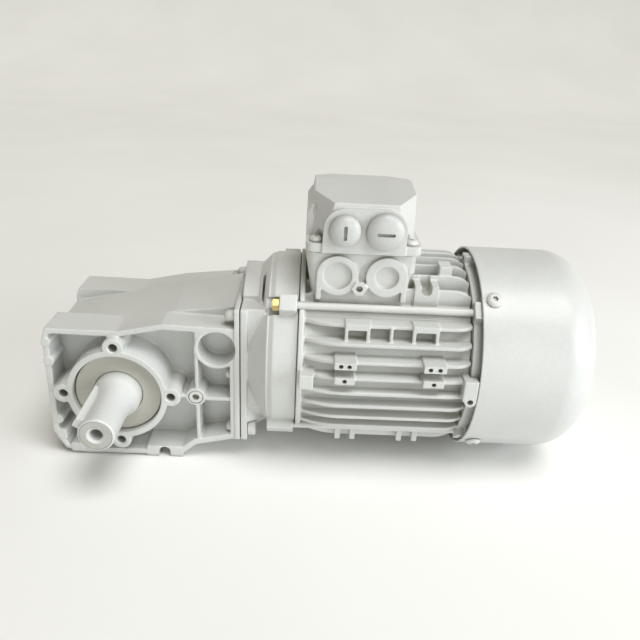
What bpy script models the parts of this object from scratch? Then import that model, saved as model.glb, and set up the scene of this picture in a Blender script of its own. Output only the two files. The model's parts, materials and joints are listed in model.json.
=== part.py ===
"""Right-angle gearmotor: a two-stage bevel and helical gearbox on a fan-cooled three-phase motor.

Dimensions are in millimetres about the motor axis: X runs along that axis towards the fan, Y away from
the output shaft's end, Z up. publish() moves every node into the shared frame, in metres, with the origin
under the middle of the whole machine.
"""

import math

import bmesh
import bpy
from mathutils import Matrix, Vector

# Shared frame: the point, in motor-axis millimetres, that becomes the origin.
FRAME_X = 3.1
FRAME_Y = -13.5
FRAME_Z = -83.0

# Gearbox casting.
SKIRT_Y = 51.0
CASE_Y = 27.5
CAVITY_Y = 23.5
WALL = 4.5
OUT_X = -144.5
OUT_Z = -26.4
MID_X = -97.4
BOSS_Y = 56.0
LUG_PCR = 39.15
LUG_R = 7.5
LUG_HOLE_R = 3.2
PILOT_R = 32.3
BEARING_SEAT_R = 31.4
PLUG_X = -87.7
PLUG_Z = -28.4
POCKET_X = -71.4
POCKET_Z = 12.7
POCKET_R = 13.5
FLANGE_X0 = -58.7
FLANGE_X1 = -54.9
FLANGE_Y = 52.0
FLANGE_TOP = 45.0
FLANGE_LOW = -65.0
FLANGE_SCREWS = ((-44.0, 37.0), (-44.0, -10.0), (-44.0, -57.0), (44.0, 37.0), (44.0, -10.0), (44.0, -57.0))

# Output shaft and its bearings.
SHAFT_R = 12.5
SHAFT_TIP_Y = -106.0
JOURNAL_R = 17.5
KEY_ANGLE = 148.0
KEY_W = 8.0
KEY_Y0 = -103.0
KEY_Y1 = -65.0

# Gears.
PRESSURE = math.radians(20.0)
MODULE = 2.0
PINION_TEETH = 13
WHEEL_TEETH = 41
SHIFT = 0.25
HELIX = math.radians(12.0)
GEAR_Y0 = -10.5
GEAR_Y1 = 4.0
BEVEL_MODULE = 1.75
BEVEL_PINION_TEETH = 11
BEVEL_WHEEL_TEETH = 34
BEVEL_FACE = 0.30
BACKLASH = 0.22

# Motor.
RING_R = 68.0
RING_X0 = -35.5
RING_X1 = -13.3
CROWN_R = 58.5
CROWN_Y = 33.0
BODY_X0 = -13.0
BODY_X1 = 109.0
BODY_R = 65.0
BORE_R = 60.2
FIN_R = 74.5
FIN_PITCH = 11.7
FIN_T = 2.6
ROD_R = 2.75
ROD_AT = 70.0
COVER_R = 78.0
COVER_X0 = 114.0
COVER_X1 = 203.2
COVER_CORNER = 30.0
COVER_T = 1.6
COVER_SCREW_X = 122.5
PAD_HOLES = ((17.2, 17.7), (22.9, 17.7), (78.6, 17.7), (85.2, 17.7), (20.2, 6.1), (82.2, 6.1))
ARM_X1 = 113.4
ARM_Z = -6.6
ARM_R = 4.2
MOTOR_BEARING_R = 23.5
MOTOR_SHAFT_R = 10.0
CORE_X0 = 12.0
CORE_X1 = 84.0
ROTOR_R = 34.5

# Terminal box.
BOX_X = 28.3
BOX_Y = 45.0
SEAM_Z = 88.0
LID_TOP_Z = 123.0
LID_RIDGE_Z = 128.4
ENTRY_Z = 72.0
ENTRY_XA = 12.3
ENTRY_XB = 46.3
CAP_A_X = 15.4
CAP_B_X = 42.4
CAP_Z = 105.0
BASE_CORNER = 7.8
LID_SCREW_X0 = -3.6
LID_SCREW_X1 = 62.0
LID_SCREW_Y = 40.4

RUNNING = 0.05
FINE = 28
ROUND = 20
MEDIUM = 16
COARSE = 10
SMALL = 8

for existing in list(bpy.data.objects):
    bpy.data.objects.remove(existing, do_unlink=True)


# ---------------------------------------------------------------- materials

def material(name, color, metallic, roughness):
    made = bpy.data.materials.new(name)
    made.use_nodes = True
    shader = made.node_tree.nodes["Principled BSDF"]
    shader.inputs["Base Color"].default_value = (*color, 1.0)
    shader.inputs["Metallic"].default_value = metallic
    shader.inputs["Roughness"].default_value = roughness
    return made


PAINT = (0.62, 0.62, 0.58)
STEEL = (0.48, 0.48, 0.47)
BRASS = (0.62, 0.50, 0.22)
COPPER = (0.60, 0.30, 0.14)
RUBBER = (0.05, 0.05, 0.05)
GREY_PLASTIC = (0.55, 0.56, 0.55)
DARK_PLASTIC = (0.06, 0.06, 0.07)


# ---------------------------------------------------------------- solids

def spread(points, index):
    """The three coordinates of a local (x, y, z), with local z along axis number index."""
    place = [0.0, 0.0, 0.0]
    place[index] = points[2]
    place[(index + 1) % 3] = points[0]
    place[(index + 2) % 3] = points[1]
    return place


def work_object(bm):
    bmesh.ops.remove_doubles(bm, verts=bm.verts, dist=0.0005)
    bmesh.ops.triangulate(bm, faces=bm.faces)
    bmesh.ops.recalc_face_normals(bm, faces=bm.faces)
    mesh = bpy.data.meshes.new("work")
    bm.to_mesh(mesh)
    bm.free()
    obj = bpy.data.objects.new("work", mesh)
    bpy.context.scene.collection.objects.link(obj)
    return obj


def stitch(bm, ring_a, ring_b):
    """Faces between two rings of (angle, vertex) round one axis, with any number of points each."""
    count_a = len(ring_a)
    count_b = len(ring_b)
    turn = 2 * math.pi
    offset = round((ring_a[0][0] - ring_b[0][0]) / turn * count_b) % count_b
    ring_b = ring_b[offset:] + [(angle + turn, vertex) for angle, vertex in ring_b[:offset]]
    shift = round((ring_a[0][0] - ring_b[0][0]) / turn) * turn
    i = 0
    j = 0
    while i < count_a or j < count_b:
        next_a = ring_a[(i + 1) % count_a][0] + (turn if i + 1 >= count_a else 0.0)
        next_b = ring_b[(j + 1) % count_b][0] + shift + (turn if j + 1 >= count_b else 0.0)
        vertex_a = ring_a[i % count_a][1]
        vertex_b = ring_b[j % count_b][1]
        if j >= count_b or (i < count_a and next_a <= next_b):
            bm.faces.new((vertex_a, ring_a[(i + 1) % count_a][1], vertex_b))
            i += 1
        else:
            bm.faces.new((vertex_a, ring_b[(j + 1) % count_b][1], vertex_b))
            j += 1


def rings_solid(rings, index, centre, closed):
    """A solid through rings of (angle, radius, height); an open one has a fan of faces at each end."""
    bm = bmesh.new()
    made = []
    for ring in rings:
        row = []
        for angle, radius, height in ring:
            local = (radius * math.cos(angle), radius * math.sin(angle), height)
            row.append((angle, bm.verts.new(Vector(spread(local, index)) + Vector(centre))))
        made.append(row)
    pairs = list(zip(made, made[1:]))
    if closed:
        pairs.append((made[-1], made[0]))
    for ring_a, ring_b in pairs:
        if len(ring_a) == len(ring_b):
            count = len(ring_a)
            for k in range(count):
                follow = (k + 1) % count
                bm.faces.new((ring_a[k][1], ring_a[follow][1], ring_b[follow][1], ring_b[k][1]))
        else:
            stitch(bm, ring_a, ring_b)
    if not closed:
        for row in (made[0], made[-1]):
            middle = sum((vertex.co for _, vertex in row), Vector()) / len(row)
            hub = bm.verts.new(middle)
            for k, (_, vertex) in enumerate(row):
                bm.faces.new((vertex, row[(k + 1) % len(row)][1], hub))
    return work_object(bm)


def circle(radius, height, segments):
    return [(2 * math.pi * k / segments, radius, height) for k in range(segments)]


def lathe(profile, axis, centre, segments, closed=True):
    """A turned solid from a profile of (height along the axis, radius); closed makes a ring."""
    rings = [circle(radius, height, segments) for height, radius in profile]
    return rings_solid(rings, "XYZ".index(axis), centre, closed)


def rod(axis, centre, radius, low, high, segments=MEDIUM):
    return lathe(((low, radius), (high, radius)), axis, centre, segments, closed=False)


def prism(outline, axis, low, high):
    """A right prism: outline pairs follow the order of the two other axes, so (y, z), (x, z) or (x, y)."""
    bm = bmesh.new()
    ends = []
    for height in (low, high):
        row = []
        for a, b in outline:
            place = {"X": (height, a, b), "Y": (a, height, b), "Z": (a, b, height)}[axis]
            row.append(bm.verts.new(place))
        ends.append(row)
    bm.faces.new(ends[0])
    bm.faces.new(ends[1])
    count = len(outline)
    for k in range(count):
        follow = (k + 1) % count
        bm.faces.new((ends[0][k], ends[0][follow], ends[1][follow], ends[1][k]))
    return work_object(bm)


def box(x0, x1, y0, y1, z0, z1):
    return prism(((y0, z0), (y1, z0), (y1, z1), (y0, z1)), "X", x0, x1)


def loft(sections, axis):
    """A solid through flat sections (height, outline) with the same number of points."""
    bm = bmesh.new()
    rows = []
    for height, outline in sections:
        row = []
        for a, b in outline:
            place = {"X": (height, a, b), "Y": (a, height, b), "Z": (a, b, height)}[axis]
            row.append(bm.verts.new(place))
        rows.append(row)
    bm.faces.new(rows[0])
    bm.faces.new(rows[-1])
    for first, second in zip(rows, rows[1:]):
        count = len(first)
        for k in range(count):
            follow = (k + 1) % count
            bm.faces.new((first[k], first[follow], second[follow], second[k]))
    return work_object(bm)


def turned(obj, degrees, about="X", at=(0.0, 0.0, 0.0)):
    pivot = Matrix.Translation(Vector(at))
    obj.data.transform(pivot @ Matrix.Rotation(math.radians(degrees), 4, about) @ pivot.inverted())
    return obj


def boolean(base, tools, operation):
    for tool in tools:
        step = base.modifiers.new("step", "BOOLEAN")
        step.operation = operation
        step.solver = "MANIFOLD"
        step.object = tool
    graph = bpy.context.evaluated_depsgraph_get()
    mesh = bpy.data.meshes.new_from_object(base.evaluated_get(graph))
    base.modifiers.clear()
    base.data = mesh
    for tool in tools:
        bpy.data.objects.remove(tool, do_unlink=True)
    return base


def join(base, *tools):
    return boolean(base, tools, "UNION")


def cut(base, *tools):
    return boolean(base, tools, "DIFFERENCE")


def tidy(obj, merge=0.002):
    """Drops the doubled points and flat slivers that the cuts leave, and returns triangles."""
    bm = bmesh.new()
    bm.from_mesh(obj.data)
    bmesh.ops.remove_doubles(bm, verts=bm.verts, dist=merge)
    bmesh.ops.dissolve_degenerate(bm, edges=bm.edges, dist=merge)
    plain = bm.copy()
    bmesh.ops.dissolve_limit(bm, angle_limit=math.radians(0.4), verts=bm.verts, edges=bm.edges)
    bmesh.ops.triangulate(bm, faces=bm.faces)
    if any(len(edge.link_faces) != 2 for edge in bm.edges):
        bm.free()
        bm = plain
        bmesh.ops.triangulate(bm, faces=bm.faces)
    else:
        plain.free()
    bmesh.ops.recalc_face_normals(bm, faces=bm.faces)
    bm.to_mesh(obj.data)
    bm.free()


def publish(
    obj,
    name,
    slot_color,
    metallic=0.0,
    roughness=0.45,
    origin=(FRAME_X, FRAME_Y, FRAME_Z),
    round_piece=True,
):
    """Turns a work solid into a finished node: cleaned, in metres, with its own material and origin."""
    tidy(obj)
    shift = Vector(origin)
    obj.data.transform(Matrix.Scale(0.001, 4) @ Matrix.Translation(-shift))
    obj.location = (shift - Vector((FRAME_X, FRAME_Y, FRAME_Z))) * 0.001
    obj.name = name
    obj.data.name = name
    obj.data.materials.clear()
    obj.data.materials.append(material(name, slot_color, metallic, roughness))
    if round_piece:
        for polygon in obj.data.polygons:
            polygon.use_smooth = True
        obj.data.set_sharp_from_angle(angle=math.radians(30.0))
    return obj


def bore_radius(shaft_radius, segments):
    """The corner radius of a many-sided bore that clears a turning shaft all round."""
    return (shaft_radius + RUNNING) / math.cos(math.pi / segments)


# ---------------------------------------------------------------- gear teeth

def involute(angle):
    return math.tan(angle) - angle


def tooth_outline(teeth, module, shift):
    """One tooth about angle zero, from its left root to its right root, as (angle, radius)."""
    pitch = module * teeth / 2
    base = pitch * math.cos(PRESSURE)
    root = pitch - (1.25 - shift) * module
    tip = pitch + (1.0 + shift) * module - 0.05
    half = (math.pi / 2 + 2 * shift * math.tan(PRESSURE)) / teeth - BACKLASH / (2 * pitch)
    start = max(base, root) + 0.01
    flank = []
    spans = 1 if teeth > 30 else 2
    for k in range(spans + 1):
        radius = start + (tip - start) * k / spans
        lean = half + involute(PRESSURE) - involute(math.acos(base / radius))
        flank.append((lean, radius))
    left = [(-lean, radius) for lean, radius in flank]
    right = [(lean, radius) for lean, radius in reversed(flank)]
    if start - root < 0.1:
        return [*left, *right]
    foot = flank[0][0]
    return [(-foot - 0.004, root), *left, *right, (foot + 0.004, root)]


def tooth_ring(teeth, outline, turn):
    ring = []
    for k in range(teeth):
        centre = turn + 2 * math.pi * k / teeth
        ring.extend((centre + angle, radius) for angle, radius in outline)
    return ring


def helical_body(teeth, shift, phase, hand, steps, ends, centre):
    """Helical teeth along Y between GEAR_Y0 and GEAR_Y1, with extra plain rings before and after them."""
    pitch = MODULE * teeth / 2
    outline = tooth_outline(teeth, MODULE, shift)
    rings = []
    for k in range(steps + 1):
        height = GEAR_Y0 + (GEAR_Y1 - GEAR_Y0) * k / steps
        turn = phase + hand * math.tan(HELIX) * height / pitch
        rings.append([(angle, radius, height) for angle, radius in tooth_ring(teeth, outline, turn)])
    before, after, closed = ends
    return rings_solid([*before, *rings, *after], 1, centre, closed)


def bevel_rings(teeth, cone, distance, phase):
    """The heel and toe rings of straight bevel teeth whose cones meet at height zero."""
    virtual = teeth / math.cos(cone)
    outline = tooth_outline(virtual, BEVEL_MODULE, 0.0)
    heel = []
    for angle, radius in tooth_ring(teeth, [(a / math.cos(cone), r) for a, r in outline], phase):
        out = radius * math.cos(cone)
        height = distance / math.cos(cone) - radius * math.sin(cone)
        heel.append((angle, out, height))
    toe = [(angle, radius * (1 - BEVEL_FACE), height * (1 - BEVEL_FACE)) for angle, radius, height in heel]
    return heel, toe


# ---------------------------------------------------------------- gearbox housing

def skirt_outline(inset, top_right):
    """The ribbed side opening's outline in X and Z, drawn in by inset."""
    return (
        (-195.5 + inset, 17.0 - inset * 0.4),
        (-193.0 + inset, 24.5 - inset),
        (-142.0, 24.0 - inset),
        (-110.0, 31.0 - inset),
        (FLANGE_X0 + 1.0 - inset, top_right - inset),
        (FLANGE_X0 + 1.0 - inset, -64.7 + inset),
        (-60.5 - inset * 0.5, -64.7 + inset),
        (-88.8 - inset * 0.3, -71.0 + inset),
        (-101.0 - inset * 0.5, -81.5 + inset),
        (-175.0, -82.0 + inset),
        (-189.0 + inset * 0.5, -78.5 + inset * 0.8),
        (-197.0 + inset, -63.0 + inset * 0.4),
    )


def screw_lugs(side, radius, low, high):
    lugs = []
    for k in range(4):
        angle = math.pi / 2 * k
        centre = (OUT_X + LUG_PCR * math.cos(angle), 0.0, OUT_Z + LUG_PCR * math.sin(angle))
        span = sorted((side * low, side * high))
        lugs.append(rod("Y", centre, radius, span[0], span[1], COARSE if radius > 5 else SMALL))
    return lugs


def end_bosses(side):
    """Core-print bosses on the left wall."""
    low, high = sorted((side * 27.0, side * (SKIRT_Y + 0.5)))
    return [
        rod("Y", (-192.4, 0.0, -1.0), 3.6, low, high, SMALL),
        rod("Y", (-189.5, 0.0, -70.5), 4.2, low, high, SMALL),
        box(-193.0, -184.0, low, high, 12.0, 22.0),
    ]


def make_gear_housing():
    case = loft(
        (
            (-194.0, ((-27.5, -78.0), (27.5, -78.0), (27.5, 13.5), (16.0, 15.0), (-27.5, 13.5))),
            (-104.0, ((-27.5, -79.0), (27.5, -79.0), (29.8, 32.2), (16.0, 37.4), (-29.8, 32.2))),
            (FLANGE_X0 + 0.5, ((-31.0, -62.0), (31.0, -62.0), (31.0, 38.5), (16.0, 46.8), (-31.0, 38.5))),
        ),
        "X",
    )
    for side, top_right in ((-1.0, 29.5), (1.0, 37.0)):
        wall = sorted((side * 23.0, side * SKIRT_Y))
        skirt = prism(skirt_outline(0.0, top_right), "Y", wall[0], wall[1])
        hollow = sorted((side * CASE_Y, side * 60.0))
        skirt = cut(skirt, prism(skirt_outline(WALL, top_right), "Y", hollow[0], hollow[1]))
        case = join(case, skirt)
    for side in (-1.0, 1.0):
        deep = sorted((side * 26.0, side * (SKIRT_Y - 0.4)))
        face = sorted((side * 26.0, side * SKIRT_Y))
        cone = ((side * 26.0, 38.6), (side * 34.0, 37.2), (side * BOSS_Y, 36.9))
        additions = [lathe(cone, "Y", (OUT_X, 0.0, OUT_Z), FINE, closed=False)]
        additions += screw_lugs(side, LUG_R, 26.0, BOSS_Y)
        additions += end_bosses(side)
        additions.append(box(-146.1, -142.9, deep[0], deep[1], 17.0, 21.0))
        additions.append(box(-106.5, -92.0, deep[0], deep[1], -29.4, -26.6))
        additions.append(box(-88.0, -85.2, deep[0], deep[1], -68.5, 14.0))
        additions.append(box(-88.0, -57.9, deep[0], deep[1], -30.9, -28.0))
        additions.append(box(-127.0, -99.0, face[0], face[1], -83.0, -74.0))
        additions.append(rod("Y", (PLUG_X, 0.0, PLUG_Z), 7.4, deep[0], deep[1], COARSE))
        if side < 0:
            additions.append(box(-87.2, -57.9, deep[0], face[1], POCKET_Z, 28.0))
            additions.append(rod("Y", (POCKET_X, 0.0, POCKET_Z), 16.0, face[0], face[1], ROUND))
        else:
            additions.append(rod("Y", (MID_X, 0.0, 0.0), 22.0, 22.0, 35.5, MEDIUM))
        case = join(case, *additions)
    plate = (
        (-FLANGE_Y, FLANGE_LOW + 2),
        (-FLANGE_Y + 2, FLANGE_LOW),
        (FLANGE_Y - 2, FLANGE_LOW),
        (FLANGE_Y, FLANGE_LOW + 2),
        (FLANGE_Y, FLANGE_TOP - 2),
        (FLANGE_Y - 2, FLANGE_TOP),
        (-FLANGE_Y + 2, FLANGE_TOP),
        (-FLANGE_Y, FLANGE_TOP - 2),
    )
    case = join(case, prism(plate, "X", FLANGE_X0, FLANGE_X1))
    cavity = prism(
        (
            (-189.5, -74.0),
            (-189.5, 9.0),
            (-112.0, 30.6),
            (-56.0, 34.0),
            (-56.0, -58.0),
            (-88.0, -66.0),
            (-104.0, -74.0),
        ),
        "Y",
        -CAVITY_Y,
        CAVITY_Y,
    )
    case = cut(case, cavity, box(-60.0, -50.0, -CAVITY_Y, CAVITY_Y, -30.0, 30.0))
    case = join(
        case,
        rod("Y", (MID_X, 0.0, 0.0), 21.4, -25.0, -12.2, MEDIUM),
        rod("Y", (MID_X, 0.0, 0.0), 21.4, 19.9, 25.0),
    )
    cuts = [
        rod("Y", (OUT_X, 0.0, OUT_Z), BEARING_SEAT_R, -50.0, 50.0, FINE),
        rod("Y", (OUT_X, 0.0, OUT_Z), PILOT_R, -60.0, -44.6, FINE),
        rod("Y", (OUT_X, 0.0, OUT_Z), PILOT_R, 44.6, 60.0, FINE),
        rod("Y", (MID_X, 0.0, 0.0), 17.65, -23.7, -10.0, MEDIUM),
        rod("Y", (MID_X, 0.0, 0.0), 17.65, 15.0, 31.6, MEDIUM),
        rod("Y", (POCKET_X, 0.0, POCKET_Z), POCKET_R, -60.0, -32.0, MEDIUM),
        rod("Y", (PLUG_X, 0.0, PLUG_Z), 5.6, -60.0, -20.0, COARSE),
        box(-117.65, -109.15, -60.0, -28.5, -90.0, -79.0),
        rod("Y", (-113.4, 0.0, -79.0), 4.25, -60.0, -28.5, COARSE),
        box(-117.65, -109.15, 28.5, 60.0, -90.0, -79.0),
        rod("Y", (-113.4, 0.0, -79.0), 4.25, 28.5, 60.0, COARSE),
    ]
    cuts += screw_lugs(-1.0, LUG_HOLE_R, 38.0, 60.0)
    cuts += screw_lugs(1.0, LUG_HOLE_R, 38.0, 60.0)
    for y, z in FLANGE_SCREWS:
        cuts.append(rod("X", (0.0, y, z), 4.3, -70.0, -50.0, COARSE))
    case = cut(case, *cuts)
    return publish(case, "gear_housing", PAINT)


# ---------------------------------------------------------------- gearbox inner pieces

def make_bearing(name, axis, centre, inner, outer, low, high, segments):
    """A deep-groove bearing drawn as one ring with a recessed shield on each side."""
    step = 0.24 * (outer - inner)
    bore = bore_radius(inner, segments)
    profile = (
        (low, bore),
        (low, inner + step),
        (low + 0.7, inner + step),
        (low + 0.7, outer - step),
        (low, outer - step),
        (low, outer),
        (high, outer),
        (high, bore),
    )
    return publish(lathe(profile, axis, centre, segments), name, STEEL, 0.9, 0.3)


def make_output_group():
    axis_point = (OUT_X, 0.0, OUT_Z)
    origin = (OUT_X, 0.0, OUT_Z)
    profile = (
        (SHAFT_TIP_Y, 4.9),
        (SHAFT_TIP_Y, SHAFT_R - 1.6),
        (SHAFT_TIP_Y + 1.5, SHAFT_R),
        (-76.0, SHAFT_R),
        (-68.0, SHAFT_R + 1.0),
        (-62.0, SHAFT_R + 2.8),
        (-57.5, JOURNAL_R),
        (GEAR_Y1 + 0.4, JOURNAL_R),
        (GEAR_Y1 + 0.4, 20.5),
        (28.9, 20.5),
        (28.9, JOURNAL_R),
        (44.4, JOURNAL_R),
        (45.0, JOURNAL_R - 0.8),
    )
    shaft = lathe(profile, "Y", axis_point, ROUND, closed=False)
    bore = lathe(
        ((-107.0, 6.2), (-104.6, 4.3), (-84.0, 4.3), (-82.0, 0.6)),
        "Y",
        axis_point,
        COARSE,
        closed=False,
    )
    slot = box(
        SHAFT_R - 4.2,
        SHAFT_R + 6.0,
        KEY_Y0 - 0.2,
        KEY_Y1 + 0.2,
        -KEY_W / 2 - 0.05,
        KEY_W / 2 + 0.05,
    )
    key = box(SHAFT_R - 4.0, SHAFT_R + 3.0, KEY_Y0, KEY_Y1, -KEY_W / 2, KEY_W / 2)
    for piece in (slot, key):
        turned(piece, -KEY_ANGLE, "Y")
        piece.data.transform(Matrix.Translation(Vector(axis_point)))
    publish(cut(shaft, bore, slot), "output_shaft", PAINT, 0.1, 0.42, origin)
    publish(key, "output_shaft_key", STEEL, 0.6, 0.45, origin, round_piece=False)

    toward = math.atan2(OUT_X - MID_X, OUT_Z)
    phase = toward + math.pi + math.pi / WHEEL_TEETH
    bore_ring = JOURNAL_R + 0.12
    before = [circle(bore_ring, GEAR_Y0, WHEEL_TEETH), circle(36.6, GEAR_Y0, WHEEL_TEETH)]
    after = [circle(36.6, GEAR_Y1, WHEEL_TEETH), circle(bore_ring, GEAR_Y1, WHEEL_TEETH)]
    wheel = helical_body(WHEEL_TEETH, -SHIFT, phase, -1.0, 1, (before, after, True), axis_point)
    publish(wheel, "output_gear", STEEL, 0.9, 0.35, origin)

    make_bearing("output_bearing_front", "Y", axis_point, JOURNAL_R, 31.0, -43.8, -29.8, ROUND)
    make_bearing("output_bearing_rear", "Y", axis_point, JOURNAL_R, 31.0, 29.8, 43.8, ROUND)
    lip = bore_radius(JOURNAL_R, FINE)
    seal = ((-52.4, lip), (-52.4, 22.0), (-51.0, 23.5), (-51.0, 32.0), (-45.0, 32.0), (-45.0, lip))
    publish(lathe(seal, "Y", axis_point, FINE), "output_shaft_seal", (0.42, 0.42, 0.39), 0.0, 0.5)
    cap = ((45.8, 32.0), (52.0, 32.0), (53.0, 31.0))
    publish(
        lathe(cap, "Y", axis_point, FINE, closed=False),
        "output_rear_cap",
        (0.10, 0.10, 0.10),
        0.0,
        0.5,
    )


def make_intermediate_group():
    axis_point = (MID_X, 0.0, 0.0)
    toward = math.atan2(OUT_X - MID_X, OUT_Z)
    before = [
        circle(7.45, -23.2, MEDIUM),
        circle(7.45, -12.0, MEDIUM),
        circle(10.6, -12.0, MEDIUM),
        circle(10.6, GEAR_Y0, MEDIUM),
    ]
    after = [
        circle(10.6, GEAR_Y1, MEDIUM),
        circle(10.6, GEAR_Y1 + 1.3, MEDIUM),
        circle(8.9, GEAR_Y1 + 1.3, MEDIUM),
        circle(8.9, 19.8, MEDIUM),
        circle(7.45, 19.8, MEDIUM),
        circle(7.45, 31.0, MEDIUM),
    ]
    shaft = helical_body(PINION_TEETH, SHIFT, toward, 1.0, 2, (before, after, False), axis_point)
    publish(shaft, "intermediate_pinion_shaft", STEEL, 0.9, 0.35, axis_point)

    cone = math.atan2(BEVEL_WHEEL_TEETH, BEVEL_PINION_TEETH)
    distance = BEVEL_MODULE * math.hypot(BEVEL_WHEEL_TEETH, BEVEL_PINION_TEETH) / 2
    phase = math.pi / 2 + math.pi / BEVEL_WHEEL_TEETH
    heel, toe = bevel_rings(BEVEL_WHEEL_TEETH, cone, distance, phase)
    face = max(height for _, _, height in toe)
    back = max(height for _, _, height in heel)
    rings = [
        toe,
        circle(18.6, face + 0.2, BEVEL_WHEEL_TEETH),
        circle(9.1, face + 0.2, BEVEL_WHEEL_TEETH),
        circle(9.1, 19.4, BEVEL_WHEEL_TEETH),
        circle(14.0, 19.4, BEVEL_WHEEL_TEETH),
        circle(14.5, 15.2, BEVEL_WHEEL_TEETH),
        circle(26.2, 14.6, BEVEL_WHEEL_TEETH),
        circle(28.2, back + 0.5, BEVEL_WHEEL_TEETH),
        heel,
    ]
    publish(rings_solid(rings, 1, axis_point, True), "bevel_gear", STEEL, 0.9, 0.35, axis_point)
    make_bearing("intermediate_bearing_front", "Y", axis_point, 7.5, 17.5, -23.4, -12.5, MEDIUM)
    make_bearing("intermediate_bearing_rear", "Y", axis_point, 7.5, 17.5, 20.1, 31.1, MEDIUM)


def make_oil_plug():
    plug = lathe(
        (
            (-50.6, 3.2),
            (-50.6, 4.9),
            (-50.1, 5.3),
            (-40.0, 5.3),
            (-39.2, 4.6),
        ), "Y", (PLUG_X, 0.0, PLUG_Z), COARSE, closed=False
    )
    socket = []
    for k in range(6):
        angle = math.pi / 3 * k
        socket.append((PLUG_X + 2.9 * math.cos(angle), PLUG_Z + 2.9 * math.sin(angle)))
    plug = cut(plug, prism(socket, "Y", -52.0, -46.0))
    publish(plug, "oil_plug", PAINT, 0.1, 0.4)


# ---------------------------------------------------------------- motor, drive end

def square_plate(x0, x1, grow):
    outline = (
        (-FLANGE_Y - grow, FLANGE_LOW + 3 - grow),
        (-FLANGE_Y + 3, FLANGE_LOW - grow),
        (FLANGE_Y - 3, FLANGE_LOW - grow),
        (FLANGE_Y + grow, FLANGE_LOW + 3 - grow),
        (FLANGE_Y + grow, FLANGE_TOP - 2),
        (FLANGE_Y - 2, FLANGE_TOP + grow),
        (-FLANGE_Y + 2, FLANGE_TOP + grow),
        (-FLANGE_Y - grow, FLANGE_TOP - 2),
    )
    return prism(outline, "X", x0, x1)


def at_angle(piece, degrees):
    """Turns a piece drawn pointing along +Z about the motor axis."""
    return turned(piece, degrees, "X")


def crown_outline():
    """The low arched rise on top of the shield, in Y and Z."""
    half = CROWN_Y
    outline = [(half, 30.0), (-half, 30.0)]
    edge = math.asin(half / CROWN_R)
    for k in range(7):
        angle = -edge + 2 * edge * k / 6
        outline.append((CROWN_R * math.sin(angle), CROWN_R * math.cos(angle)))
    return outline


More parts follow.
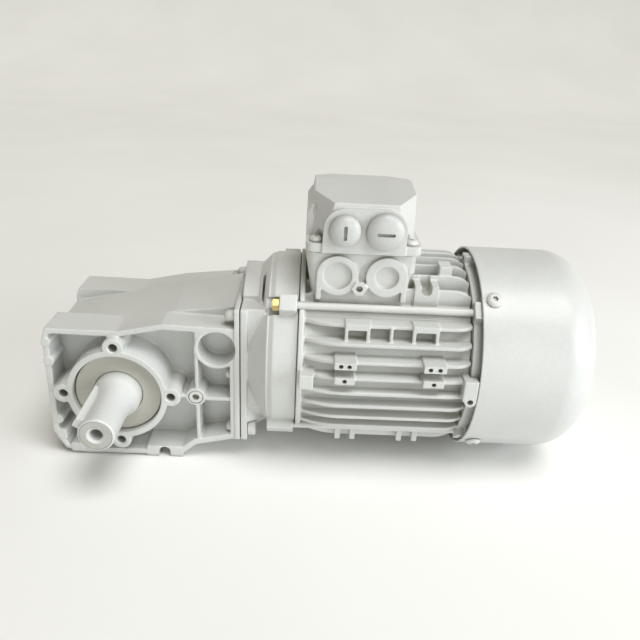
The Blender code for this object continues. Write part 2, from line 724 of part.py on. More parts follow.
def make_drive_end():
    gasket = square_plate(-54.75, -54.35, -0.6)
    gasket = cut(gasket, rod("X", (0.0, 0.0, 0.0), 23.4, -56.0, -53.0, MEDIUM))
    for y, z in FLANGE_SCREWS:
        gasket = cut(gasket, rod("X", (0.0, y, z), 4.8, -56.0, -53.0, 6))
    publish(gasket, "flange_gasket", RUBBER, 0.0, 0.8, round_piece=False)

    shield = square_plate(-54.2, -49.5, 0.0)
    cone = lathe(((-50.5, 50.5), (-34.8, 67.0)), "X", (0.0, 0.0, 0.0), FINE, closed=False)
    square = prism(
        ((-50.0, -36.0), (50.0, -36.0), (50.0, 44.0), (49.0, 45.0), (-49.0, 45.0), (-50.0, 44.0)),
        "X",
        -50.0,
        -35.0,
    )
    crown = prism(crown_outline(), "X", -54.2, -38.0)
    low = loft(
        (
            (-50.0, ((-50.0, -63.0), (50.0, -63.0), (50.0, -36.0), (-50.0, -36.0))),
            (-33.0, ((-40.0, -52.0), (40.0, -52.0), (52.0, -30.0), (-52.0, -30.0))),
        ),
        "X",
    )
    ring_profile = (
        (RING_X0, 30.0),
        (RING_X0, RING_R - 5.0),
        (RING_X0 + 1.5, RING_R - 1.5),
        (RING_X0 + 5.0, RING_R),
        (RING_X1, RING_R),
        (RING_X1, 60.5),
        (-28.5, 60.5),
        (-28.5, 30.0),
    )
    ring = lathe(ring_profile, "X", (0.0, 0.0, 0.0), FINE)
    hub = lathe(((-36.0, 31.0), (-16.8, 29.0)), "X", (0.0, 0.0, 0.0), FINE, closed=False)
    shield = join(shield, cone, square, crown, low, ring, hub)
    for degrees in (45.0, 135.0, -45.0, -135.0):
        long_lug = abs(degrees) > 90.0
        lug = box(RING_X0 + 1.0 if long_lug else -27.0, RING_X1 - 1.2, -6.2, 6.2, 60.0, 75.2)
        shield = join(shield, at_angle(lug, degrees))
    cuts = [
        rod("X", (0.0, 0.0, 0.0), MOTOR_BEARING_R + 0.5, -31.6, -10.0, MEDIUM),
        rod("X", (0.0, 0.0, 0.0), 14.0, -60.0, -10.0, MEDIUM),
        rod("X", (0.0, 0.0, 0.0), 20.1, -60.0, -46.6, MEDIUM),
        box(-40.2, -38.4, -42.5, -16.0, 46.0, 66.0),
    ]
    for degrees in (45.0, 135.0, -45.0, -135.0):
        if abs(degrees) < 90.0:
            cuts.append(at_angle(box(RING_X0 - 1.0, -27.0, -6.6, 6.6, 64.6, 80.0), degrees))
        else:
            cuts.append(at_angle(rod("X", (0.0, 0.0, ROD_AT), 5.2, -40.0, -27.0, SMALL), degrees))
        cuts.append(at_angle(rod("X", (0.0, 0.0, ROD_AT), ROD_R + 0.25, -30.0, -10.0, SMALL), degrees))
    for y, z in FLANGE_SCREWS:
        cuts.append(rod("X", (0.0, y, z), 4.3, -60.0, -48.0, COARSE))
        if z < -50.0:
            span = sorted((y - math.copysign(7.0, y), math.copysign(60.0, y)))
            cuts.append(box(-49.5, -36.0, span[0], span[1], -70.0, -50.0))
        elif z < 0.0:
            cuts.append(rod("X", (0.0, y, z), 4.3, -60.0, -46.0, COARSE))
    publish(cut(shield, *cuts), "drive_end_shield", PAINT)

    for k, (y, z) in enumerate(FLANGE_SCREWS):
        low_one = z < -50.0
        dome = [(-66.0, 2.0), (-64.4, 4.0)]
        if low_one:
            profile = (*dome, (-49.2, 4.0), (-49.2, 6.4), (-43.2, 6.0))
        else:
            profile = (*dome, (-48.4, 4.0))
        publish(
            lathe(profile, "X", (0.0, y, z), COARSE, closed=False),
            f"flange_screw_{k + 1}",
            PAINT,
            0.1,
            0.4,
        )

    lip = bore_radius(MOTOR_SHAFT_R, MEDIUM)
    seal = ((-53.6, lip), (-53.6, 19.9), (-47.0, 19.9), (-47.0, 15.5), (-48.4, 14.5), (-48.4, lip))
    publish(lathe(seal, "X", (0.0, 0.0, 0.0), MEDIUM), "input_shaft_seal", RUBBER, 0.0, 0.6)
    make_bearing(
        "front_motor_bearing",
        "X",
        (0.0, 0.0, 0.0),
        MOTOR_SHAFT_R,
        MOTOR_BEARING_R,
        -31.3,
        -17.3,
        MEDIUM,
    )


def make_tie_rods():
    for k, degrees in enumerate((45.0, 135.0, -135.0, -45.0)):
        start = -33.6 if abs(degrees) < 90.0 else -34.2
        profile = ((start, ROD_R - 0.6), (start + 0.6, ROD_R), (115.6, ROD_R), (116.2, ROD_R - 0.6))
        bar = lathe(profile, "X", (0.0, 0.0, ROD_AT), SMALL, closed=False)
        publish(at_angle(bar, degrees), f"tie_rod_{k + 1}", PAINT, 0.1, 0.4)
        rings = []
        for height, radius in ((-31.8, ROD_R + 0.12), (-31.8, 4.6), (-27.4, 4.6), (-27.4, ROD_R + 0.12)):
            rings.append(circle(radius, height, SMALL if radius < 4.0 else 6))
        nut = rings_solid(rings, 0, (0.0, 0.0, ROD_AT), True)
        publish(at_angle(nut, degrees), f"tie_rod_nut_{k + 1}", BRASS, 0.8, 0.4, round_piece=False)


# ---------------------------------------------------------------- motor, stator housing and terminal box

def fin(offset, x0, x1, side, sign, root=62.0):
    """One cooling fin; side 'Y' makes a level fin on a flank, side 'Z' an upright one above or below."""
    reach = math.sqrt(FIN_R ** 2 - offset ** 2)
    foot = math.sqrt(root ** 2 - min(abs(offset), root - 1.0) ** 2)
    outline = [(x0 + 1.0, sign * foot)]
    for along, drop in ((1.0, 7.6), (8.0, 3.6), (16.0, 1.4), (28.0, 0.0)):
        outline.append((x0 + along, sign * max(reach - drop, foot + 0.5)))
    for back, drop in ((12.0, 0.0), (4.0, 1.8), (0.0, 5.0)):
        outline.append((x1 - back, sign * (reach - drop)))
    outline.append((x1, sign * foot))
    half = FIN_T / 2
    if side == "Z":
        return prism(outline, "Y", offset - half, offset + half)
    return prism(outline, "Z", offset - half, offset + half)


def entry_boss(x, z, radius, hole):
    """A round cable-entry boss with a blind knock-out, and the leg of the arch that runs down from it."""
    side = math.copysign(1.0, x - (ENTRY_XA + ENTRY_XB) / 2)
    body = rod("Y", (x, 0.0, z), radius, -48.2, -42.0, MEDIUM)
    leg = sorted((x + side * (radius - 3.6), x + side * radius))
    body = join(body, box(leg[0], leg[1], -48.2, -42.0, 54.0, z))
    return body, rod("Y", (x, 0.0, z), hole, -52.0, -45.6, MEDIUM)


def base_section(x0, x1, y, radius):
    """A level section of the terminal box, with rounded corners."""
    outline = []
    corners = (
        (x1 - radius, radius - y, -90.0),
        (x1 - radius, y - radius, 0.0),
        (x0 + radius, y - radius, 90.0),
        (x0 + radius, radius - y, 180.0),
    )
    for centre_x, centre_y, start in corners:
        for k in range(3):
            angle = math.radians(start + 45.0 * k)
            outline.append((centre_x + radius * math.cos(angle), centre_y + radius * math.sin(angle)))
    return outline


def lid_section(x0, x1, y, along, across):
    """A level section of the lid, with corners cut off by along in X and across in Y."""
    return (
        (x0 + along, -y),
        (x1 - along, -y),
        (x1, -y + across),
        (x1, y - across),
        (x1 - along, y),
        (x0 + along, y),
        (x0, y - across),
        (x0, -y + across),
    )


def make_stator_housing():
    tube = lathe(
        ((BODY_X0, BORE_R), (BODY_X0, BODY_R), (BODY_X1, BODY_R), (BODY_X1, BORE_R)),
        "X",
        (0.0, 0.0, 0.0),
        FINE,
    )
    collar = lathe(
        ((BODY_X0, 61.0), (BODY_X0, 70.5), (-9.5, 70.5), (-8.5, 66.5), (-8.5, 61.0)),
        "X",
        (0.0, 0.0, 0.0),
        FINE,
    )
    pieces = [collar]
    offsets = [FIN_PITCH * (k + 0.5) for k in range(4)]
    for sign in (-1.0, 1.0):
        for offset in offsets:
            for place in (offset, -offset):
                pieces.append(fin(place, -10.0, BODY_X1 - 0.2, "Y", sign))
                pieces.append(fin(place, -10.0, BODY_X1 - 0.2, "Z", sign))
        block = sorted((sign * 62.0, sign * 78.5))
        band = sorted((sign * 62.0, sign * 66.5))
        tail = sorted((sign * 70.4, sign * 78.5))
        pieces.append(box(-11.2, -1.3, block[0], block[1], -1.2, 9.6))
        pieces.append(box(-1.5, 106.0, band[0], band[1], -6.0, 6.0))
        pieces.append(box(103.5, 108.6, block[0], block[1], -6.6, 9.5))
        pieces.append(box(108.0, ARM_X1, tail[0], tail[1], ARM_Z, 9.5))
        pieces.append(rod("Y", (ARM_X1 - ARM_R, 0.0, ARM_Z), ARM_R, tail[0], tail[1], COARSE))
    for degrees in (45.0, 135.0, -45.0, -135.0):
        pieces.append(at_angle(box(BODY_X0 + 0.4, BODY_X1 - 0.2, -4.4, 4.4, 60.0, 66.7), degrees))
    housing = join(tube, *pieces)
    additions = []
    for sign in (-1.0, 1.0):
        near = sorted((sign * 64.0, sign * 78.2))
        top = sorted((sign * 56.0, sign * 64.6))
        for x0, x1 in ((12.6, 28.0), (74.0, 90.0)):
            additions.append(box(x0, x1, near[0], near[1], 14.9, 20.5))
            additions.append(box(x0 + 0.6, x1 - 0.6, near[0], near[1], 3.4, 8.8))
        for x0, x1 in ((19.0, 36.5), (66.0, 84.5)):
            additions.append(box(x0, x1, top[0], top[1], 38.8, 43.6))
            additions.append(box(x0, x0 + 2.4, top[0], top[1], 29.0, 39.5))
            additions.append(box(x1 - 2.4, x1, top[0], top[1], 29.0, 39.5))
        additions.append(box(50.2, 52.6, top[0], top[1], 29.0, 41.0))
        for x0 in (18.0, 29.5, 66.0, 78.0):
            foot = sorted((sign * 40.2, sign * 46.3))
            additions.append(box(x0, x0 + 4.2, foot[0], foot[1], -64.0, -44.0))
    additions.append(box(67.4, 84.6, -44.0, -30.0, 46.0, 65.5))
    additions.append(box(67.4, 84.6, 30.0, 44.0, 46.0, 65.5))
    additions.append(box(86.0, 95.0, -30.0, -17.0, 60.0, 75.5))
    housing = join(housing, *additions)
    base = loft(
        (
            (46.0, base_section(-3.6, 61.6, BOX_Y - 0.4, BASE_CORNER)),
            (68.0, base_section(-7.4, 63.8, BOX_Y - 0.2, BASE_CORNER)),
            (SEAM_Z - 3.0, base_section(-10.3, 66.6, BOX_Y, BASE_CORNER)),
            (SEAM_Z - 0.4, base_section(-10.3, 66.6, BOX_Y, BASE_CORNER)),
        ),
        "Z",
    )
    boss_a, hole_a = entry_boss(ENTRY_XA, ENTRY_Z, 14.5, 9.9)
    boss_b, hole_b = entry_boss(ENTRY_XB, ENTRY_Z, 14.5, 8.2)
    hexagon = []
    for k in range(6):
        angle = math.pi / 3 * k
        hexagon.append((28.0 + 5.6 * math.cos(angle), 63.6 + 5.6 * math.sin(angle)))
    tap = prism(hexagon, "Y", -49.5, -42.0)
    housing = join(housing, base, boss_a, boss_b, tap)
    cuts = [
        rod("X", (0.0, 0.0, 0.0), BORE_R, -12.0, 108.0, FINE),
        loft(
            (
                (66.0, base_section(-3.2, 59.6, BOX_Y - 4.4, BASE_CORNER - 4.2)),
                (SEAM_Z + 1.0, base_section(-6.1, 62.4, BOX_Y - 4.2, BASE_CORNER - 4.2)),
            ),
            "Z",
        ),
        rod("Z", (BOX_X, 0.0, 0.0), 12.0, 50.0, 70.0, COARSE),
        hole_a,
        hole_b,
        rod("Y", (28.0, 0.0, 63.6), 2.3, -52.0, -46.0, SMALL),
        box(72.4, 79.6, -50.0, -29.0, 61.6, 70.0),
        rod("Y", (76.0, 0.0, 61.6), 3.6, -50.0, -29.0, SMALL),
        box(72.4, 79.6, 29.0, 50.0, 61.6, 70.0),
        rod("Y", (76.0, 0.0, 61.6), 3.6, 29.0, 50.0, SMALL),
    ]
    for x, z in PAD_HOLES:
        cuts.append(rod("Y", (x, 0.0, z), 1.7, -80.0, -73.0, 6))
    for low, high in ((-80.0, -72.5), (72.5, 80.0)):
        cuts.append(rod("Y", (ARM_X1 - ARM_R, 0.0, ARM_Z), 2.1, low, high, SMALL))
    for x in (LID_SCREW_X0, LID_SCREW_X1):
        for y in (-LID_SCREW_Y, LID_SCREW_Y):
            cuts.append(rod("Z", (x, y, 0.0), 2.3, SEAM_Z - 12.0, SEAM_Z + 1.0, SMALL))
    for degrees in (45.0, 135.0, -45.0, -135.0):
        cuts.append(at_angle(rod("X", (0.0, 0.0, ROD_AT), ROD_R + 0.3, -20.0, -8.0, SMALL), degrees))
    columns = []
    for x in (LID_SCREW_X0, LID_SCREW_X1):
        for y in (-LID_SCREW_Y, LID_SCREW_Y):
            columns.append(rod("Z", (x, y, 0.0), 4.2, SEAM_Z - 13.5, SEAM_Z - 0.4, SMALL))
    housing = join(housing, *columns)
    publish(cut(housing, *cuts), "stator_housing", PAINT)


def make_terminal_lid():
    lid = loft(
        (
            (SEAM_Z + 0.5, lid_section(-8.4, 64.9, BOX_Y + 2.0, 9.7, 16.0)),
            (111.0, lid_section(-7.2, 64.9, BOX_Y + 1.0, 12.2, 19.3)),
            (LID_TOP_Z - 1.0, lid_section(-5.8, 64.8, BOX_Y - 0.6, 13.5, 21.0)),
        ),
        "Z",
    )
    gable = ((-44.0, 121.8), (44.0, 121.8), (44.0, 122.2), (0.0, LID_RIDGE_Z), (-44.0, 122.2))
    column = prism(lid_section(-5.8, 64.8, BOX_Y - 0.6, 13.5, 21.0), "Z", 110.0, 140.0)
    roof = boolean(prism(gable, "X", -5.6, 64.6), [column], "INTERSECT")
    flange = prism(lid_section(-10.5, 69.0, BOX_Y + 2.4, 4.0, 4.0), "Z", SEAM_Z + 0.5, 94.6)
    panel = loft(
        (
            (94.0, ((-10.3, -31.0), (-6.0, -31.0), (-6.0, 31.0), (-10.3, 31.0))),
            (111.0, ((-10.3, -31.0), (-6.0, -31.0), (-6.0, 31.0), (-10.3, 31.0))),
            (116.0, ((-7.0, -31.0), (-6.0, -31.0), (-6.0, 31.0), (-7.0, 31.0))),
        ),
        "Z",
    )
    arch = prism(arch_outline(), "Y", -BOX_Y - 3.6, -BOX_Y + 2.0)
    lid = join(lid, roof, flange, panel, arch)
    hollow = loft(
        (
            (SEAM_Z - 1.0, lid_section(-4.4, 60.9, BOX_Y - 2.0, 12.0, 18.5)),
            (111.0, lid_section(-3.2, 60.9, BOX_Y - 3.0, 13.0, 20.0)),
            (LID_TOP_Z - 4.0, lid_section(-2.2, 61.2, BOX_Y - 4.2, 13.5, 21.0)),
        ),
        "Z",
    )
    cuts = [
        hollow,
        rod("Y", (CAP_A_X, 0.0, CAP_Z), 8.3, -60.0, -38.0, MEDIUM),
        rod("Y", (CAP_B_X, 0.0, CAP_Z), 10.3, -60.0, -38.0, MEDIUM),
    ]
    for x in (LID_SCREW_X0, LID_SCREW_X1):
        for y in (-LID_SCREW_Y, LID_SCREW_Y):
            cuts.append(rod("Z", (x, y, 0.0), 5.3, 94.6, 101.0, COARSE))
            cuts.append(rod("Z", (x, y, 0.0), 2.3, 80.0, 100.0, SMALL))
    publish(cut(lid, *cuts), "terminal_box_lid", PAINT)

    places = [(x, y) for y in (-LID_SCREW_Y, LID_SCREW_Y) for x in (LID_SCREW_X0, LID_SCREW_X1)]
    for k, (x, y) in enumerate(places):
        profile = ((80.0, 2.0), (94.9, 2.0), (94.9, 4.6), (96.6, 4.3), (98.1, 2.4))
        screw = lathe(profile, "Z", (x, y, 0.0), SMALL, closed=False)
        screw = cut(screw, rod("Z", (x, y, 0.0), 1.3, 96.6, 100.0, 6))
        publish(screw, f"lid_screw_{k + 1}", PAINT, 0.1, 0.4)

    seal = prism(base_section(-9.1, 65.4, BOX_Y - 1.2, BASE_CORNER - 1.2), "Z", SEAM_Z - 0.2, SEAM_Z + 0.2)
    seal = cut(seal, prism(base_section(1.7, 54.6, BOX_Y - 12.0, 2.0), "Z", SEAM_Z - 1.0, SEAM_Z + 1.0))
    for x in (LID_SCREW_X0, LID_SCREW_X1):
        for y in (-LID_SCREW_Y, LID_SCREW_Y):
            seal = cut(seal, rod("Z", (x, y, 0.0), 2.4, 80.0, 100.0, SMALL))
    publish(seal, "lid_gasket", RUBBER, 0.0, 0.8, round_piece=False)


def arch_outline():
    points = [(57.6, SEAM_Z + 0.5), (0.4, SEAM_Z + 0.5)]
    for k in range(6):
        angle = math.pi - math.pi / 2 * k / 5
        points.append((15.4 + 14.4 * math.cos(angle), 105.2 + 14.4 * math.sin(angle)))
    for k in range(6):
        angle = math.pi / 2 - math.pi / 2 * k / 5
        points.append((43.0 + 14.4 * math.cos(angle), 105.2 + 14.4 * math.sin(angle)))
    return points


def make_blanking_plug(name, x, radius, thread, slot_upright):
    face = -BOX_Y - 3.9
    profile = [
        (-40.5, thread - 1.0),
        (-40.9, thread),
        (face, thread),
        (face, radius - 0.6),
        (face - 1.2, radius),
    ]
    for k in range(1, 5):
        angle = math.pi / 2 * k / 4.4
        profile.append((face - 3.4 - 4.6 * math.sin(angle), radius * math.cos(angle * 0.93)))
    plug = lathe(profile, "Y", (x, 0.0, CAP_Z), MEDIUM, closed=False)
    long_half = radius * 0.42
    across = 1.1
    half_x, half_z = (across, long_half) if slot_upright else (long_half, across)
    groove = box(x - half_x, x + half_x, -62.0, face - 4.6, CAP_Z - half_z, CAP_Z + half_z)
    publish(cut(plug, groove), name, GREY_PLASTIC, 0.0, 0.45)


def make_terminal_block():
    block = box(12.0, 44.0, -20.0, 20.0, 66.5, 74.0)
    studs = []
    for k in range(3):
        for y in (-10.0, 10.0):
            studs.append(rod("Z", (18.0 + 10.0 * k, y, 0.0), 2.6, 73.0, 84.0, 6))
    publish(join(block, *studs), "terminal_block", BRASS, 0.4, 0.5)


# ---------------------------------------------------------------- motor, inner pieces

def make_stator_core():
    inner = []
    slots = 24
    for k in range(slots):
        centre = 2 * math.pi * k / slots
        for lean, radius in ((-0.110, 35.2), (-0.016, 35.2), (-0.085, 48.5), (0.085, 48.5), (0.016, 35.2)):
            inner.append((centre + lean, radius))
    outer = [(2 * math.pi * k / FINE - 0.1, 59.8) for k in range(FINE)]
    rings = []
    for outline, height in ((inner, CORE_X0), (outer, CORE_X0), (outer, CORE_X1), (inner, CORE_X1)):
        rings.append([(angle, radius, height) for angle, radius in outline])
    publish(rings_solid(rings, 0, (0.0, 0.0, 0.0), True), "stator_core", (0.30, 0.30, 0.32), 0.8, 0.5)


def make_winding(name, low, high):
    """End turns of the stator winding as one rounded ring."""
    mid = (low + high) / 2
    half = (high - low) / 2
    profile = []
    for k in range(8):
        angle = 2 * math.pi * (k + 0.5) / 8
        profile.append((mid + half * math.cos(angle), 46.5 + 8.8 * math.sin(angle)))
    publish(lathe(profile, "X", (0.0, 0.0, 0.0), MEDIUM), name, COPPER, 0.5, 0.5)


def make_rear_end():
    shield = lathe(
        ((BODY_X1 + 0.3, 24.0), (BODY_X1 + 0.3, 70.0), (118.0, 70.0), (118.0, 24.0)),
        "X",
        (0.0, 0.0, 0.0),
        FINE,
    )
    hub = rod("X", (0.0, 0.0, 0.0), 29.5, 100.0, 119.0)
    additions = [hub]
    for degrees in (45.0, 135.0, -45.0, -135.0):
        additions.append(at_angle(box(BODY_X1 + 0.3, 128.0, -6.4, 6.4, 58.0, 75.4), degrees))
    for degrees in (0.0, 180.0):
        additions.append(at_angle(box(BODY_X1 + 0.3, 117.5, -5.6, 5.6, 60.0, 75.6), degrees))
    shield = join(shield, *additions)
    cuts = [
        rod("X", (0.0, 0.0, 0.0), MOTOR_BEARING_R + 0.5, 90.0, 116.6, MEDIUM),
        rod("X", (0.0, 0.0, 0.0), 14.0, 90.0, 130.0, MEDIUM),
    ]
    for degrees in (45.0, 135.0, -45.0, -135.0):
        cuts.append(at_angle(rod("X", (0.0, 0.0, ROD_AT), ROD_R + 0.25, 100.0, 116.8, SMALL), degrees))
        cuts.append(at_angle(rod("Z", (COVER_SCREW_X, 0.0, 0.0), 2.4, 62.0, 80.0, SMALL), degrees))
    for degrees in (0.0, 180.0):
        cuts.append(at_angle(rod("X", (0.0, 0.0, 72.0), 2.2, 100.0, 114.5, 6), degrees))
    publish(cut(shield, *cuts), "rear_end_shield", PAINT)
    make_bearing(
        "rear_motor_bearing",
        "X",
        (0.0, 0.0, 0.0),
        MOTOR_SHAFT_R,
        MOTOR_BEARING_R,
        101.4,
        115.2,
        MEDIUM,
    )
    washer = ((115.6, 15.5), (115.6, 22.6), (116.2, 22.6), (116.2, 15.5))
    publish(lathe(washer, "X", (0.0, 0.0, 0.0), MEDIUM), "bearing_preload_washer", STEEL, 0.9, 0.3)


def make_fan_cover():
    outer = [(COVER_X0, COVER_R)]
    inner = [(COVER_X0, COVER_R - COVER_T)]
    for k in range(6):
        angle = math.pi / 2 * k / 5
        outer.append(
            (
                COVER_X1 - COVER_CORNER + COVER_CORNER * math.sin(angle),
                COVER_R - COVER_CORNER + COVER_CORNER * math.cos(angle),
            ),
        )
        small = COVER_CORNER - COVER_T
        inner.append(
            (
                COVER_X1 - COVER_CORNER + small * math.sin(angle),
                COVER_R - COVER_CORNER + small * math.cos(angle),
            ),
        )
    outer.append((COVER_X1, 9.0))
    inner.append((COVER_X1 - COVER_T, 9.0))
    cover = lathe([*outer, *reversed(inner)], "X", (0.0, 0.0, 0.0), FINE)
    cover = join(cover, rod("X", (0.0, 0.0, 0.0), 10.5, COVER_X1 - COVER_T, COVER_X1, MEDIUM))
    cuts = []
    for ring, (low, high, count) in enumerate(((16.0, 29.0, 8), (33.0, 46.0, 12))):
        for k in range(count):
            degrees = 360.0 * (k + 0.5 * ring) / count
            cuts.append(at_angle(box(COVER_X1 - 5.0, COVER_X1 + 5.0, -2.1, 2.1, low, high), degrees))
    for degrees in (45.0, 135.0, -45.0, -135.0):
        cuts.append(at_angle(rod("Z", (COVER_SCREW_X, 0.0, 0.0), 2.7, 70.0, 82.0, SMALL), degrees))
    publish(cut(cover, *cuts), "fan_cover", PAINT)
    for k, degrees in enumerate((45.0, 135.0, -135.0, -45.0)):
        profile = ((66.0, 2.1), (78.25, 2.1), (78.25, 5.5), (79.6, 5.0), (81.0, 3.0))
        screw = lathe(profile, "Z", (COVER_SCREW_X, 0.0, 0.0), SMALL, closed=False)
        screw = cut(screw, rod("Z", (COVER_SCREW_X, 0.0, 0.0), 1.6, 79.4, 84.0, 6))
        publish(at_angle(screw, degrees), f"fan_cover_screw_{k + 1}", PAINT, 0.1, 0.4)


# ---------------------------------------------------------------- rotor

def make_rotor_group():
    profile = (
        (-55.6, 9.2),
        (-55.0, MOTOR_SHAFT_R),
        (-16.9, MOTOR_SHAFT_R),
        (-16.9, 13.0),
        (CORE_X0 - 0.4, 13.0),
        (CORE_X0 - 0.4, 12.0),
        (CORE_X1 + 0.2, 12.0),
        (CORE_X1 + 16.9, 12.0),
        (CORE_X1 + 16.9, MOTOR_SHAFT_R),
        (118.4, MOTOR_SHAFT_R),
        (118.4, 8.9),
        (154.2, 8.9),
        (155.0, 8.1),
    )
    shaft = lathe(profile, "X", (0.0, 0.0, 0.0), MEDIUM, closed=False)
    shaft = cut(
        shaft,
        rod("X", (0.0, 0.0, 0.0), 6.25, -60.0, -27.0, COARSE),
        cut(
            rod("X", (0.0, 0.0, 0.0), 12.0, 150.3, 151.7, MEDIUM),
            rod("X", (0.0, 0.0, 0.0), 8.0, 149.0, 153.0, MEDIUM),
        ),
    )
    publish(shaft, "rotor_shaft", STEEL, 0.9, 0.3, (0.0, 0.0, 0.0))

    cone = math.atan2(BEVEL_PINION_TEETH, BEVEL_WHEEL_TEETH)
    distance = BEVEL_MODULE * math.hypot(BEVEL_WHEEL_TEETH, BEVEL_PINION_TEETH) / 2
    heel, toe = bevel_rings(BEVEL_PINION_TEETH, cone, distance, 0.0)
    root = min(radius for _, radius, _ in toe)
    front = min(height for _, _, height in toe)
    back = max(height for _, _, height in heel)
    rings = [
        circle(root - 1.2, front - 0.1, 22),
        toe,
        heel,
        circle(7.2, back + 0.4, 22),
        circle(7.2, back + 3.0, 22),
        circle(9.3, back + 3.0, 22),
        circle(9.3, -56.0 - MID_X, 22),
        circle(6.0, -56.0 - MID_X, COARSE),
        circle(6.0, -28.2 - MID_X, COARSE),
        circle(5.2, -27.6 - MID_X, COARSE),
    ]
    pinion = rings_solid(rings, 0, (MID_X, 0.0, 0.0), False)
    publish(pinion, "bevel_pinion", STEEL, 0.9, 0.35, (0.0, 0.0, 0.0))

    core = ((CORE_X0, 12.15), (CORE_X0, ROTOR_R), (CORE_X1, ROTOR_R), (CORE_X1, 12.15))
    publish(
        lathe(core, "X", (0.0, 0.0, 0.0), FINE),
        "rotor_core",
        (0.30, 0.30, 0.32),
        0.8,
        0.5,
        (0.0, 0.0, 0.0),
    )
    for name, low, high in (
        ("rotor_end_ring_front", CORE_X0 - 9.6, CORE_X0 - 0.2),
        ("rotor_end_ring_rear", CORE_X1 + 0.2, CORE_X1 + 9.6),
    ):
        ring = ((low, 22.0), (low, ROTOR_R - 1.0), (high, ROTOR_R - 1.0), (high, 22.0))
        publish(
            lathe(ring, "X", (0.0, 0.0, 0.0), MEDIUM),
            name,
            (0.60, 0.60, 0.62),
            0.9,
            0.4,
            (0.0, 0.0, 0.0),
        )

    fan = lathe(
        (
            (130.0, 9.1),
            (130.0, 16.0),
            (133.0, 17.0),
            (133.0, 56.0),
            (135.2, 58.0),
            (136.0, 56.0),
            (136.0, 17.5),
            (150.0, 16.0),
            (150.0, 9.1),
        ),
        "X",
        (0.0, 0.0, 0.0),
        MEDIUM,
    )
    blades = []
    for k in range(8):
        outline = ((135.0, 15.0), (135.0, 64.0), (149.0, 64.0), (157.0, 60.0), (157.0, 24.0), (148.0, 15.0))
        blade = prism(outline, "Y", -1.1, 1.1)
        blades.append(at_angle(blade, 45.0 * k))
    fan = join(fan, *blades)
    publish(fan, "cooling_fan", DARK_PLASTIC, 0.0, 0.5, (0.0, 0.0, 0.0))
    clip = lathe(((150.4, 8.3), (150.4, 11.2), (151.6, 11.2), (151.6, 8.3)), "X", (0.0, 0.0, 0.0), MEDIUM)
    clip = cut(clip, box(149.0, 153.0, -1.6, 1.6, 7.0, 13.0))
    publish(clip, "fan_circlip", STEEL, 0.9, 0.35, (0.0, 0.0, 0.0))


make_gear_housing()
make_output_group()
make_intermediate_group()
make_oil_plug()
make_drive_end()
make_tie_rods()
make_stator_housing()
make_terminal_lid()
make_blanking_plug("blanking_plug_m16", CAP_A_X, 10.7, 8.0, True)
make_blanking_plug("blanking_plug_m20", CAP_B_X, 12.8, 10.0, False)
make_terminal_block()
make_stator_core()
make_winding("winding_front", -5.5, CORE_X0 - 0.4)
make_winding("winding_rear", CORE_X1 + 0.4, CORE_X1 + 17.5)
make_rear_end()
make_fan_cover()
make_rotor_group()
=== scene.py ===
"""Looks of the right-angle gearmotor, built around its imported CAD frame.

Shapes are drawn in millimetres about the motor axis: X runs along that axis towards the fan, Y away
from the output shaft's end, Z up. publish() moves each finished piece into the frame, in metres, by
the frame's own rotor joint. Castings are joined from plain solids, skinned and softened into one
surface with rounded edges, and machined afterwards.
"""

import json
import math

import bmesh
import bpy
from mathutils import Matrix, Vector


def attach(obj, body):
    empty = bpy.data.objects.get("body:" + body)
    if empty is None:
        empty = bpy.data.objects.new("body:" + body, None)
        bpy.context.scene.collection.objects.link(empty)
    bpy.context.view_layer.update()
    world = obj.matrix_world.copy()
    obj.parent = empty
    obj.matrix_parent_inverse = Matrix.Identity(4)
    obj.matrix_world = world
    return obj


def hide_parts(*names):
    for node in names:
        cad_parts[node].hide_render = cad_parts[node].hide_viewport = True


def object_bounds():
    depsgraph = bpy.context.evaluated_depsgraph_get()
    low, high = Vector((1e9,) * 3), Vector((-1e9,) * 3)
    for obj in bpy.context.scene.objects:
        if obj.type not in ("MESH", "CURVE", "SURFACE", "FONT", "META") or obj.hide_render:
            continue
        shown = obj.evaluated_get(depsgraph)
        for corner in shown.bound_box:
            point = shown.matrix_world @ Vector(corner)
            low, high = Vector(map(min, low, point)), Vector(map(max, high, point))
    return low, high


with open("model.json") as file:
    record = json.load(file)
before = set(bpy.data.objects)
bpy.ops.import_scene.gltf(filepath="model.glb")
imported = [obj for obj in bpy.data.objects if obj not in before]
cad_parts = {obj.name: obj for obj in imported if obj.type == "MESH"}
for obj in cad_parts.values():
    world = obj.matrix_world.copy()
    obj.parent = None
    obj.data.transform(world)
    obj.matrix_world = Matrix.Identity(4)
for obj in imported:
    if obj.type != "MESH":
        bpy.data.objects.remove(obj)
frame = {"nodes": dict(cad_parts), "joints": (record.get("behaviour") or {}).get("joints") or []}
CAD_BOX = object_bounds()

JOINT_AT = {joint["name"]: Vector(joint["pos_m"]) for joint in frame["joints"]}
AXIS_POINT = JOINT_AT["rotor_spin"]
OUT_OFFSET = (JOINT_AT["output_spin"] - AXIS_POINT) * 1000.0
MID_OFFSET = (JOINT_AT["intermediate_spin"] - AXIS_POINT) * 1000.0
TO_FRAME = Matrix.Translation(AXIS_POINT) @ Matrix.Scale(0.001, 4)

OUT_X = OUT_OFFSET.x
OUT_Z = OUT_OFFSET.z
MID_X = MID_OFFSET.x

